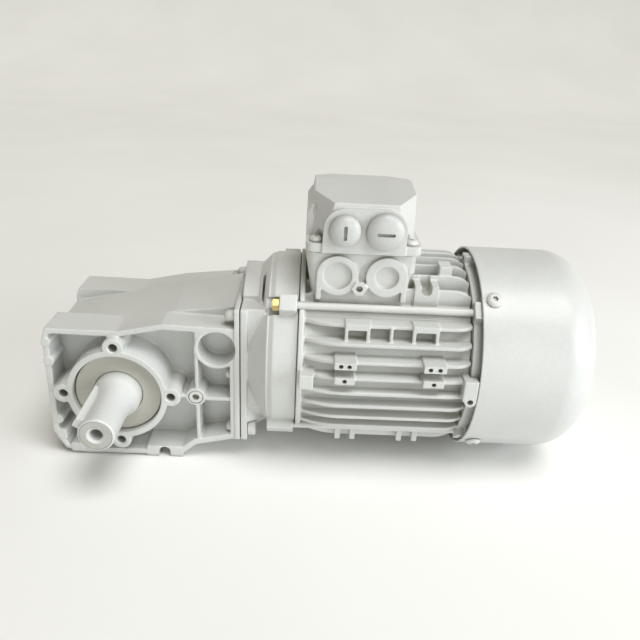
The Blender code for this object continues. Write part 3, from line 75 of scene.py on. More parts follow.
# Gearbox casting.
SKIRT_Y = 51.0
CASE_Y = 27.5
CAVITY_Y = 23.5
WALL = 4.5
BOSS_Y = 56.0
LUG_PCR = 39.15
LUG_R = 7.5
LUG_HOLE_R = 3.2
PILOT_R = 32.3
BEARING_SEAT_R = 31.4
PLUG_X = -87.7
PLUG_Z = -28.4
POCKET_X = -71.4
POCKET_Z = 12.7
POCKET_R = 13.5
FLANGE_X0 = -58.7
FLANGE_X1 = -54.9
FLANGE_Y = 52.0
FLANGE_TOP = 45.0
FLANGE_LOW = -65.0
FLANGE_CORNER = 2.5
SCREW_ROWS = (37.0, -10.0, -57.0)
FLANGE_SCREWS = [(y, z) for y in (-44.0, 44.0) for z in SCREW_ROWS]

# Output shaft.
SHAFT_R = 12.5
SHAFT_TIP_Y = -106.0
JOURNAL_R = 17.5
TIP_FACE_R = 10.6
KEY_ANGLE = 148.0
KEY_W = 8.0
KEY_PROUD = 4.4
KEY_Y0 = -103.0
KEY_Y1 = -62.0

# Motor.
RING_R = 68.0
RING_X0 = -35.5
RING_X1 = -13.3
CROWN_R = 58.5
CROWN_Y = 33.0
BODY_X0 = -13.0
BODY_X1 = 109.0
BODY_R = 65.0
BORE_R = 60.2
FIN_R = 74.5
FIN_PITCH = 11.7
FIN_T = 2.6
ROD_R = 2.75
ROD_AT = 70.0
COVER_R = 78.0
COVER_X0 = 114.0
COVER_X1 = 203.2
COVER_CORNER = 30.0
COVER_T = 1.6
COVER_SCREW_X = 122.5
CORNERS = (45.0, 135.0, -135.0, -45.0)
COVER_SCREWS = (40.0, 132.5, -132.5, -40.0)
MOTOR_BEARING_R = 23.5
ARM_X1 = 113.4
ARM_Z = -6.6
ARM_R = 4.2

# Terminal box.
BOX_X = 28.3
BOX_Y = 45.0
SEAM_Z = 88.0
LID_TOP_Z = 123.0
LID_RIDGE_Z = 128.4
ENTRY_Z = 72.0
ENTRY_XA = 12.3
ENTRY_XB = 46.3
EARTH_X = 28.0
EARTH_Z = 63.6
CAP_A_X = 15.4
CAP_B_X = 42.4
CAP_Z = 105.0
BASE_CORNER = 7.8
LID_SCREW_X0 = -3.6
LID_SCREW_X1 = 62.0
LID_SCREW_Y = 40.4
LID_SCREWS = [(x, y) for y in (-LID_SCREW_Y, LID_SCREW_Y) for x in (LID_SCREW_X0, LID_SCREW_X1)]

BIG = 128
WIDE = 72
MEDIUM = 48
SMALL = 32


# ---------------------------------------------------------------- materials

def new_material(name):
    made = bpy.data.materials.new(name)
    made.use_nodes = True
    tree = made.node_tree
    return made, tree, tree.nodes["Principled BSDF"]


def link(tree, source, target):
    tree.links.new(source, target)


def noise(tree, vector, scale, detail=3.0, roughness=0.5):
    node = tree.nodes.new("ShaderNodeTexNoise")
    node.inputs["Scale"].default_value = scale
    node.inputs["Detail"].default_value = detail
    node.inputs["Roughness"].default_value = roughness
    link(tree, vector, node.inputs["Vector"])
    return node.outputs["Fac"]


def ramp(tree, source, low, high, colors):
    node = tree.nodes.new("ShaderNodeValToRGB")
    node.color_ramp.elements[0].position = low
    node.color_ramp.elements[1].position = high
    node.color_ramp.elements[0].color = (*colors[0], 1.0)
    node.color_ramp.elements[1].color = (*colors[1], 1.0)
    link(tree, source, node.inputs["Fac"])
    return node.outputs["Color"]


def spread_value(tree, source, low, high, out_low, out_high):
    node = tree.nodes.new("ShaderNodeMapRange")
    for key, value in (("From Min", low), ("From Max", high), ("To Min", out_low), ("To Max", out_high)):
        node.inputs[key].default_value = value
    link(tree, source, node.inputs["Value"])
    return node.outputs["Result"]


def mix_color(tree, factor, first, second, blend="MIX"):
    node = tree.nodes.new("ShaderNodeMix")
    node.data_type = "RGBA"
    node.blend_type = blend
    for slot, value in ((0, factor), (6, first), (7, second)):
        if isinstance(value, (int, float)):
            node.inputs[slot].default_value = value
        elif isinstance(value, tuple):
            node.inputs[slot].default_value = (*value, 1.0)
        else:
            link(tree, value, node.inputs[slot])
    return node.outputs[2]


def bump(tree, height, strength, distance, normal=None):
    node = tree.nodes.new("ShaderNodeBump")
    node.inputs["Strength"].default_value = strength
    node.inputs["Distance"].default_value = distance
    link(tree, height, node.inputs["Height"])
    if normal is not None:
        link(tree, normal, node.inputs["Normal"])
    return node.outputs["Normal"]


def object_space(tree):
    return tree.nodes.new("ShaderNodeTexCoord").outputs["Object"]


def tinted(color, factor):
    return tuple(channel * factor for channel in color)


def paint(name, color, rough=(0.34, 0.46), grain=0.35, recess_shade=0.55, shade_tint=(0.46, 0.45, 0.36)):
    """Sprayed satin enamel: slow drift of tone, orange peel, cast grain, and painted shade: the colour
    darkens towards a warm olive in recesses, creases and between parts, where shade falls.
    """
    made, tree, shader = new_material(name)
    place = object_space(tree)
    slow = noise(tree, place, 22.0, 4.0)
    fine = noise(tree, place, 420.0, 2.0)
    coat = ramp(tree, slow, 0.30, 0.72, (tinted(color, 0.955), tinted(color, 1.03)))
    speckle = ramp(tree, fine, 0.35, 0.70, ((0.965, 0.965, 0.965), (1.0, 1.0, 1.0)))
    coat = mix_color(tree, 1.0, coat, speckle, "MULTIPLY")
    # Painted shade: ambient occlusion pulls the colour towards a warm olive tint in recesses and between
    # parts.
    shade = tree.nodes.new("ShaderNodeAmbientOcclusion")
    shade.samples = 8
    shade.inputs["Distance"].default_value = 0.010
    shade_amount = spread_value(tree, shade.outputs["AO"], 0.10, 0.80, recess_shade, 0.0)
    coat = mix_color(tree, shade_amount, coat, tuple(a * b for a, b in zip(color, shade_tint)))
    link(tree, coat, shader.inputs["Base Color"])
    link(tree, spread_value(tree, fine, 0.3, 0.7, *rough), shader.inputs["Roughness"])
    peel = noise(tree, place, 560.0, 2.0, 0.45)
    pits = noise(tree, place, 2100.0, 2.0, 0.6)
    surface = bump(tree, peel, 0.16, 0.0004)
    surface = bump(tree, pits, grain, 0.00012, surface)
    link(tree, surface, shader.inputs["Normal"])
    shader.inputs["Specular IOR Level"].default_value = 0.45
    shader.inputs["Coat Weight"].default_value = 0.10
    shader.inputs["Coat Roughness"].default_value = 0.22
    return made


def machined(name, color, stretch, rough=(0.24, 0.40), metallic=1.0):
    """Turned or ground metal with fine tool marks along one direction."""
    made, tree, shader = new_material(name)
    place = object_space(tree)
    mapping = tree.nodes.new("ShaderNodeMapping")
    mapping.inputs["Scale"].default_value = stretch
    link(tree, place, mapping.inputs["Vector"])
    marks = noise(tree, mapping.outputs["Vector"], 900.0, 3.0, 0.6)
    cloud = noise(tree, place, 60.0, 3.0)
    tone = ramp(tree, marks, 0.3, 0.75, (tinted(color, 0.82), tinted(color, 1.1)))
    stain = ramp(tree, cloud, 0.35, 0.75, ((0.86, 0.84, 0.80), (1.0, 1.0, 1.0)))
    link(tree, mix_color(tree, 1.0, tone, stain, "MULTIPLY"), shader.inputs["Base Color"])
    link(tree, spread_value(tree, marks, 0.3, 0.7, *rough), shader.inputs["Roughness"])
    link(tree, bump(tree, marks, 0.25, 0.00008), shader.inputs["Normal"])
    shader.inputs["Metallic"].default_value = metallic
    return made


def moulded(name, color, rough=(0.42, 0.56), relief=0.25):
    """Moulded plastic or rubber with a fine spark-eroded texture."""
    made, tree, shader = new_material(name)
    place = object_space(tree)
    cloud = noise(tree, place, 45.0, 3.0)
    grain = noise(tree, place, 1500.0, 2.0)
    tone = ramp(tree, cloud, 0.3, 0.75, (tinted(color, 0.92), tinted(color, 1.06)))
    link(tree, tone, shader.inputs["Base Color"])
    link(tree, spread_value(tree, grain, 0.3, 0.7, *rough), shader.inputs["Roughness"])
    link(tree, bump(tree, grain, relief, 0.0001), shader.inputs["Normal"])
    return made


def banded(name, color, dark, across, scale, metallic, rough):
    """Stacked laminations or wound wire: bands along one axis with a little wander."""
    made, tree, shader = new_material(name)
    place = object_space(tree)
    wave = tree.nodes.new("ShaderNodeTexWave")
    wave.bands_direction = across
    wave.inputs["Scale"].default_value = scale
    wave.inputs["Distortion"].default_value = 1.2
    wave.inputs["Detail"].default_value = 2.0
    link(tree, place, wave.inputs["Vector"])
    link(tree, ramp(tree, wave.outputs["Fac"], 0.2, 0.8, (dark, color)), shader.inputs["Base Color"])
    link(tree, spread_value(tree, noise(tree, place, 300.0), 0.3, 0.7, *rough), shader.inputs["Roughness"])
    link(tree, bump(tree, wave.outputs["Fac"], 0.6, 0.0003), shader.inputs["Normal"])
    shader.inputs["Metallic"].default_value = metallic
    return made


PAINT = (0.63, 0.64, 0.625)
CAST_PAINT = paint("casting_paint", PAINT, grain=0.55, recess_shade=0.75)
SHEET_PAINT = paint("sheet_paint", (0.62, 0.63, 0.62), rough=(0.32, 0.42), grain=0.12, recess_shade=0.35)
PART_PAINT = paint("fastener_paint", (0.65, 0.655, 0.635), rough=(0.30, 0.40), grain=0.2)
SHAFT_PAINT = paint("oversprayed_shaft", (0.65, 0.66, 0.65), rough=(0.28, 0.40), grain=0.15, recess_shade=0.35)
# Painted shade: the seal ring gets a darker, warmer copy of the paint, which stands in for the shaft's shadow
# falling on it.
SEAL_SHADE_PAINT = paint("seal_paint_painted_shade", (0.47, 0.46, 0.41), rough=(0.36, 0.5), grain=0.3, recess_shade=0.7)
CAP_PLASTIC = paint("plug_grey", (0.56, 0.57, 0.56), rough=(0.36, 0.46), grain=0.2, recess_shade=0.45)
BRUSHED = machined("ground_steel", (0.52, 0.52, 0.51), (1.0, 0.06, 1.0))
TURNED_X = machined("turned_steel", (0.50, 0.50, 0.50), (1.0, 0.08, 0.08))
END_STEEL = machined("sawn_shaft_end", (0.58, 0.59, 0.58), (1.0, 1.0, 1.0), rough=(0.38, 0.55), metallic=0.25)
GEAR_STEEL = machined("gear_steel", (0.42, 0.42, 0.43), (0.3, 1.0, 0.3), rough=(0.28, 0.42))
BRASS = machined("passivated_brass", (0.70, 0.56, 0.24), (1.0, 0.2, 0.2), rough=(0.3, 0.45))
RUBBER = moulded("black_rubber", (0.035, 0.035, 0.036), rough=(0.6, 0.75))
DARK_PLASTIC = moulded("black_plastic", (0.05, 0.05, 0.055))
BLOCK_PLASTIC = moulded("terminal_resin", (0.42, 0.26, 0.12), rough=(0.35, 0.5))
COPPER = banded("varnished_winding", (0.66, 0.30, 0.13), (0.28, 0.10, 0.05), "Y", 210.0, 0.7, (0.25, 0.4))
LAMINATION = banded("lamination_stack", (0.34, 0.34, 0.36), (0.18, 0.18, 0.20), "X", 320.0, 0.8, (0.35, 0.55))
CAST_METAL = machined("cast_aluminium", (0.62, 0.62, 0.63), (1.0, 1.0, 1.0), rough=(0.4, 0.55))


# ---------------------------------------------------------------- solids

def spread(points, index):
    """The three coordinates of a local (x, y, z), with local z along axis number index."""
    place = [0.0, 0.0, 0.0]
    place[index] = points[2]
    place[(index + 1) % 3] = points[0]
    place[(index + 2) % 3] = points[1]
    return place


def work_object(bm):
    bmesh.ops.remove_doubles(bm, verts=bm.verts, dist=0.0005)
    bmesh.ops.triangulate(bm, faces=bm.faces)
    bmesh.ops.recalc_face_normals(bm, faces=bm.faces)
    mesh = bpy.data.meshes.new("work")
    bm.to_mesh(mesh)
    bm.free()
    obj = bpy.data.objects.new("work", mesh)
    bpy.context.scene.collection.objects.link(obj)
    return obj


def lathe(profile, axis, centre, segments=WIDE, closed=True):
    """A turned solid from (height along the axis, radius) pairs; closed makes a ring, open fills it."""
    index = "XYZ".index(axis)
    bm = bmesh.new()
    rows = []
    for height, radius in profile:
        row = []
        for k in range(segments):
            angle = 2.0 * math.pi * k / segments
            local = (radius * math.cos(angle), radius * math.sin(angle), height)
            row.append(bm.verts.new(Vector(spread(local, index)) + Vector(centre)))
        rows.append(row)
    pairs = list(zip(rows, rows[1:]))
    if closed:
        pairs.append((rows[-1], rows[0]))
    for first, second in pairs:
        for k in range(segments):
            follow = (k + 1) % segments
            bm.faces.new((first[k], first[follow], second[follow], second[k]))
    if not closed:
        for row in (rows[0], rows[-1]):
            hub = bm.verts.new(sum((vertex.co for vertex in row), Vector()) / segments)
            for k in range(segments):
                bm.faces.new((row[k], row[(k + 1) % segments], hub))
    return work_object(bm)


def rod(axis, centre, radius, low, high, segments=MEDIUM):
    return lathe(((low, radius), (high, radius)), axis, centre, segments, closed=False)


def loft(sections, axis):
    """A solid through flat sections (height, outline) with the same number of points."""
    bm = bmesh.new()
    rows = []
    for height, outline in sections:
        row = []
        for a, b in outline:
            place = {"X": (height, a, b), "Y": (a, height, b), "Z": (a, b, height)}[axis]
            row.append(bm.verts.new(place))
        rows.append(row)
    bm.faces.new(rows[0])
    bm.faces.new(rows[-1])
    for first, second in zip(rows, rows[1:]):
        count = len(first)
        for k in range(count):
            follow = (k + 1) % count
            bm.faces.new((first[k], first[follow], second[follow], second[k]))
    return work_object(bm)


def prism(outline, axis, low, high):
    """A right prism: outline pairs follow the order of the two other axes, so (y, z), (x, z) or (x, y)."""
    return loft(((low, outline), (high, outline)), axis)


def box(x0, x1, y0, y1, z0, z1):
    return prism(((y0, z0), (y1, z0), (y1, z1), (y0, z1)), "X", x0, x1)


def turned(obj, degrees, about="X"):
    obj.data.transform(Matrix.Rotation(math.radians(degrees), 4, about))
    return obj


def moved(obj, x, y, z):
    obj.data.transform(Matrix.Translation(Vector((x, y, z))))
    return obj


def applied(obj):
    graph = bpy.context.evaluated_depsgraph_get()
    mesh = bpy.data.meshes.new_from_object(obj.evaluated_get(graph))
    obj.modifiers.clear()
    obj.data = mesh
    return obj


def boolean(base, tools, operation):
    for tool in tools:
        step = base.modifiers.new("step", "BOOLEAN")
        step.operation = operation
        step.solver = "MANIFOLD"
        step.object = tool
    applied(base)
    for tool in tools:
        bpy.data.objects.remove(tool, do_unlink=True)
    return base


def join(base, *tools):
    return boolean(base, tools, "UNION")


def cut(base, *tools):
    return boolean(base, tools, "DIFFERENCE")


def cast(solid, voxel=0.6, passes=4, keep=0.16):
    """Turns a joined solid into one skin with rounded edges and small fillets, as a casting has."""
    skin = solid.modifiers.new("skin", "REMESH")
    skin.mode = "VOXEL"
    skin.voxel_size = voxel
    soft = solid.modifiers.new("soft", "SMOOTH")
    soft.factor = 0.5
    soft.iterations = passes
    applied(solid)
    thin = solid.modifiers.new("thin", "DECIMATE")
    thin.ratio = keep
    return applied(solid)


def rounded(obj, width, segments=3, angle=35.0):
    """Rounds the edges of a crisp solid."""
    edge = obj.modifiers.new("edge", "BEVEL")
    edge.width = width
    edge.segments = segments
    edge.limit_method = "ANGLE"
    edge.angle_limit = math.radians(angle)
    edge.harden_normals = False
    return applied(obj)


def publish(obj, name, look, slot, body, *nodes, sharp=38.0):
    """Turns a work solid into a finished piece: in the frame, smooth shaded, riding on its body."""
    bm = bmesh.new()
    bm.from_mesh(obj.data)
    bmesh.ops.remove_doubles(bm, verts=bm.verts, dist=0.0008)
    bmesh.ops.dissolve_degenerate(bm, edges=bm.edges, dist=0.0008)
    bmesh.ops.recalc_face_normals(bm, faces=bm.faces)
    bm.to_mesh(obj.data)
    bm.free()
    obj.data.transform(TO_FRAME)
    obj.name = name
    obj.data.name = name
    obj.data.materials.clear()
    obj.data.materials.append(look)
    for polygon in obj.data.polygons:
        polygon.use_smooth = True
        polygon.material_index = 0
    obj.data.set_sharp_from_angle(angle=math.radians(sharp))
    weigh = obj.modifiers.new("weigh", "WEIGHTED_NORMAL")
    weigh.mode = "FACE_AREA"
    weigh.keep_sharp = True
    applied(obj)
    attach(obj, body)
    if nodes:
        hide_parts(*nodes)
    return obj


def fillet(points, radius, steps=5):
    """A closed outline with each corner rounded; radius is one number or one for each corner."""
    count = len(points)
    radii = [radius] * count if isinstance(radius, (int, float)) else list(radius)
    made = []
    for k, point in enumerate(points):
        here = Vector(point)
        before = Vector(points[k - 1]) - here
        after = Vector(points[(k + 1) % count]) - here
        if radii[k] <= 0.0:
            made.append((here.x, here.y))
            continue
        half = before.angle(after) / 2.0
        reach = min(radii[k] / math.tan(half), before.length * 0.48, after.length * 0.48)
        start = here + before.normalized() * reach
        end = here + after.normalized() * reach
        for step in range(steps + 1):
            t = step / steps
            spot = start * (1 - t) ** 2 + here * 2 * t * (1 - t) + end * t ** 2
            made.append((spot.x, spot.y))
    return made


def hexagon(x, z, radius):
    turns = [math.pi / 3 * k for k in range(6)]
    return [(x + radius * math.cos(turn), z + radius * math.sin(turn)) for turn in turns]


def star(radius, depth_low, depth_high, axis="Z", lobes=6):
    """A six-lobed socket cutter."""
    outline = []
    for k in range(lobes * 8):
        angle = 2 * math.pi * k / (lobes * 8)
        reach = radius * (0.86 + 0.14 * math.cos(lobes * angle))
        outline.append((reach * math.cos(angle), reach * math.sin(angle)))
    return prism(outline, axis, depth_low, depth_high)


# ---------------------------------------------------------------- gearbox housing

def skirt_outline(inset, top_right):
    """The ribbed side opening's outline in X and Z, drawn in by inset."""
    corners = (
        (-195.5 + inset, 17.0 - inset * 0.4),
        (-193.0 + inset, 24.5 - inset),
        (-142.0, 24.0 - inset),
        (-110.0, 31.0 - inset),
        (FLANGE_X0 + 1.0 - inset, top_right - inset),
        (FLANGE_X0 + 1.0 - inset, -64.7 + inset),
        (-60.5 - inset * 0.5, -64.7 + inset),
        (-88.8 - inset * 0.3, -71.0 + inset),
        (-101.0 - inset * 0.5, -81.5 + inset),
        (-175.0, -82.0 + inset),
        (-189.0 + inset * 0.5, -78.5 + inset * 0.8),
        (-197.0 + inset, -63.0 + inset * 0.4),
    )
    return corners


def plate_outline(corner):
    """The square flange between gearbox and motor, in Y and Z."""
    corners = (
        (-FLANGE_Y, FLANGE_LOW),
        (FLANGE_Y, FLANGE_LOW),
        (FLANGE_Y, FLANGE_TOP),
        (-FLANGE_Y, FLANGE_TOP),
    )
    return fillet(corners, corner)


def lug_centre(k):
    angle = math.pi / 2 * k
    return (OUT_X + LUG_PCR * math.cos(angle), 0.0, OUT_Z + LUG_PCR * math.sin(angle))


def screw_lugs(side, radius, low, high):
    lugs = []
    for k in range(4):
        span = sorted((side * low, side * high))
        lugs.append(rod("Y", lug_centre(k), radius, span[0], span[1], SMALL))
    return lugs


def end_bosses(side):
    """Core-print bosses on the left wall."""
    low, high = sorted((side * 27.0, side * (SKIRT_Y + 0.4)))
    return [
        rod("Y", (-193.2, 0.0, 13.0), 3.5, low, high, SMALL),
        rod("Y", (-193.0, 0.0, -2.5), 3.9, low, high, SMALL),
        rod("Y", (-192.2, 0.0, -52.0), 4.1, low, high, SMALL),
        box(-193.6, -187.0, low, high, -69.5, -61.0),
        box(-184.5, -176.0, low, high, -81.0, -73.5),
    ]


def make_gear_housing():
    case = loft(
        (
            (-194.0, ((-27.5, -78.0), (27.5, -78.0), (27.5, 13.5), (16.0, 15.0), (-27.5, 13.5))),
            (-104.0, ((-27.5, -79.0), (27.5, -79.0), (29.8, 32.2), (16.0, 37.4), (-29.8, 32.2))),
            (FLANGE_X0 + 0.5, ((-31.0, -62.0), (31.0, -62.0), (31.0, 38.5), (16.0, 46.8), (-31.0, 38.5))),
        ),
        "X",
    )
    for side, top_right in ((-1.0, 29.5), (1.0, 37.0)):
        wall = sorted((side * 23.0, side * SKIRT_Y))
        skirt = prism(skirt_outline(0.0, top_right), "Y", wall[0], wall[1])
        hollow = sorted((side * CASE_Y, side * 60.0))
        skirt = cut(skirt, prism(skirt_outline(WALL, top_right), "Y", hollow[0], hollow[1]))
        thinner = ((-191.8, -60.0), (-191.2, 19.6), (-180.0, 20.0), (-180.0, -76.0))
        skirt = cut(skirt, prism(thinner, "Y", hollow[0], hollow[1]))
        case = join(case, skirt)
    for side in (-1.0, 1.0):
        deep = sorted((side * 26.0, side * (SKIRT_Y - 0.4)))
        face = sorted((side * 26.0, side * SKIRT_Y))
        cone = ((side * 26.0, 38.6), (side * 34.0, 37.2), (side * BOSS_Y, 36.9))
        additions = [lathe(cone, "Y", (OUT_X, 0.0, OUT_Z), BIG, closed=False)]
        additions += screw_lugs(side, LUG_R, 26.0, BOSS_Y)
        additions += end_bosses(side)
        additions.append(box(-146.1, -142.9, deep[0], deep[1], 17.0, 21.0))
        additions.append(box(-106.5, -92.0, deep[0], deep[1], -29.4, -26.6))
        additions.append(box(-88.0, -85.2, deep[0], deep[1], -68.5, 14.0))
        additions.append(box(-88.0, -57.9, deep[0], deep[1], -30.9, -28.0))
        additions.append(box(-127.0, -99.0, face[0], face[1], -83.0, -74.0))
        additions.append(rod("Y", (PLUG_X, 0.0, PLUG_Z), 7.4, deep[0], deep[1], MEDIUM))
        if side < 0:
            additions.append(box(-87.2, -57.9, deep[0], face[1], POCKET_Z, 28.0))
            additions.append(rod("Y", (POCKET_X, 0.0, POCKET_Z), 16.0, face[0], face[1], WIDE))
        else:
            additions.append(rod("Y", (MID_X, 0.0, 0.0), 22.0, 22.0, 35.5, MEDIUM))
        case = join(case, *additions)
    case = join(case, prism(plate_outline(FLANGE_CORNER), "X", FLANGE_X0, FLANGE_X1))
    for side in (-1.0, 1.0):
        span = sorted((side * 60.0, side * 28.5))
        case = cut(
            case,
            box(-117.65, -109.15, span[0], span[1], -90.0, -79.0),
            rod("Y", (-113.4, 0.0, -79.0), 4.25, span[0], span[1], SMALL),
        )
    case = cut(case, rod("Y", (POCKET_X, 0.0, POCKET_Z), POCKET_R, -60.0, -32.0, WIDE))
    case = cast(case, 0.55, 3)
    inner = (
        (-189.5, -74.0),
        (-189.5, 9.0),
        (-112.0, 30.6),
        (-56.0, 34.0),
        (-56.0, -58.0),
        (-88.0, -66.0),
        (-104.0, -74.0),
    )
    cavity = prism(inner, "Y", -CAVITY_Y, CAVITY_Y)
    case = cut(case, cavity, box(-60.0, -50.0, -CAVITY_Y, CAVITY_Y, -30.0, 30.0))
    middle = (MID_X, 0.0, 0.0)
    case = join(case, rod("Y", middle, 21.4, -25.0, -12.2), rod("Y", middle, 21.4, 19.9, 25.0))
    output = (OUT_X, 0.0, OUT_Z)
    pilot = ((-60.0, PILOT_R + 4.6), (-BOSS_Y + 0.7, PILOT_R), (-44.6, PILOT_R))
    rear_pilot = ((44.6, PILOT_R), (BOSS_Y - 0.7, PILOT_R), (60.0, PILOT_R + 4.6))
    cuts = [
        rod("Y", output, BEARING_SEAT_R, -50.0, 50.0, BIG),
        lathe(pilot, "Y", output, BIG, closed=False),
        lathe(rear_pilot, "Y", output, BIG, closed=False),
        rod("Y", middle, 17.65, -23.7, -10.0, WIDE),
        rod("Y", middle, 17.65, 15.0, 31.6, WIDE),
        rod("Y", (PLUG_X, 0.0, PLUG_Z), 5.6, -60.0, -20.0, MEDIUM),
    ]
    for side in (-1.0, 1.0):
        cuts += screw_lugs(side, LUG_HOLE_R, 38.0, 60.0)
        rim = sorted(((side * (BOSS_Y - 1.2), LUG_HOLE_R - 0.3), (side * (BOSS_Y + 1.0), LUG_HOLE_R + 1.9)))
        for k in range(4):
            cuts.append(lathe(rim, "Y", lug_centre(k), SMALL, closed=False))
    for y, z in FLANGE_SCREWS:
        cuts.append(rod("X", (0.0, y, z), 4.3, -70.0, -50.0, SMALL))
    case = cut(case, *cuts)
    publish(case, "gear_housing_casting", CAST_PAINT, "painted_casting", "frame", "gear_housing")


# ---------------------------------------------------------------- output end

def make_output_end():
    axis_point = (OUT_X, 0.0, OUT_Z)
    profile = [
        (SHAFT_TIP_Y + 1.4, 4.6),
        (SHAFT_TIP_Y, 6.3),
        (SHAFT_TIP_Y, TIP_FACE_R),
        (SHAFT_TIP_Y + 0.8, TIP_FACE_R + 0.1),
        (SHAFT_TIP_Y + 0.8, TIP_FACE_R + 0.55),
        (SHAFT_TIP_Y + 0.1, TIP_FACE_R + 0.6),
        (SHAFT_TIP_Y + 0.3, SHAFT_R - 0.6),
        (SHAFT_TIP_Y + 1.0, SHAFT_R - 0.1),
        (SHAFT_TIP_Y + 1.6, SHAFT_R),
        (-80.0, SHAFT_R),
        (-74.0, SHAFT_R + 0.35),
        (-68.0, SHAFT_R + 1.2),
        (-63.0, SHAFT_R + 2.5),
        (-59.5, SHAFT_R + 4.0),
        (-57.2, JOURNAL_R - 0.05),
        (4.4, JOURNAL_R),
        (4.4, 20.5),
        (28.9, 20.5),
        (28.9, JOURNAL_R),
        (44.4, JOURNAL_R),
        (45.0, JOURNAL_R - 0.8),
    ]
    shaft = lathe(profile, "Y", axis_point, BIG, closed=False)
    centre_hole = ((-107.0, 7.0), (-104.8, 4.4), (-84.0, 4.4), (-82.0, 0.6))
    bore = lathe(centre_hole, "Y", axis_point, MEDIUM, closed=False)
    half = KEY_W / 2
    slot = box(SHAFT_R - 4.2, SHAFT_R + 6.0, KEY_Y0 - 0.2, KEY_Y1 + 0.2, -half - 0.05, half + 0.05)
    key = rounded(box(SHAFT_R - 4.0, SHAFT_R + KEY_PROUD, KEY_Y0, KEY_Y1, -half, half), 0.35)
    for piece in (slot, key):
        turned(piece, -KEY_ANGLE, "Y")
        moved(piece, *axis_point)
    shaft = cut(shaft, bore, slot)
    publish(shaft, "output_shaft_painted", SHAFT_PAINT, "painted_shaft", "output", "output_shaft", sharp=30.0)
    shaft.data.materials.append(END_STEEL)
    tip = SHAFT_TIP_Y * 0.001 + AXIS_POINT.y + 0.0002
    spin = JOINT_AT["output_spin"]
    for polygon in shaft.data.polygons:
        reach = math.hypot(polygon.center.x - spin.x, polygon.center.z - spin.z)
        if polygon.center.y < tip and reach < TIP_FACE_R * 0.001:
            polygon.material_index = 1
    publish(key, "output_key_painted", SHAFT_PAINT, "steel", "output", "output_shaft_key")

    seal = [
        (-50.6, JOURNAL_R + 0.12),
        (-51.2, JOURNAL_R + 0.7),
        (-51.0, JOURNAL_R + 1.6),
        (-50.4, JOURNAL_R + 4.0),
        (-50.5, 27.0),
        (-51.2, 30.2),
        (-51.2, 31.2),
        (-50.6, 31.7),
        (-45.0, 31.7),
        (-45.0, JOURNAL_R + 0.12),
    ]
    ring = lathe(seal, "Y", axis_point, BIG)
    publish(ring, "output_seal_ring", SEAL_SHADE_PAINT, "seal_grey", "frame", "output_shaft_seal", sharp=30.0)
    pan = ((45.8, 31.9), (51.4, 31.9), (52.3, 31.0), (52.4, 27.0), (51.4, 25.6), (51.4, 0.02))
    cap = lathe(pan, "Y", axis_point, BIG, closed=False)
    publish(cap, "output_rear_cover", RUBBER, "cap_rubber", "frame", "output_rear_cap")


def make_oil_plug():
    profile = [(-50.2, 0.02), (-50.6, 0.4), (-50.7, 4.6), (-50.3, 5.1), (-40.0, 5.2), (-39.2, 4.6)]
    plug = lathe(profile, "Y", (PLUG_X, 0.0, PLUG_Z), MEDIUM, closed=False)
    plug = cut(plug, prism(hexagon(PLUG_X, PLUG_Z, 2.9), "Y", -52.0, -46.0))
    publish(plug, "oil_plug_socketed", PART_PAINT, "painted_fastener", "frame", "oil_plug")


# ---------------------------------------------------------------- motor, drive end

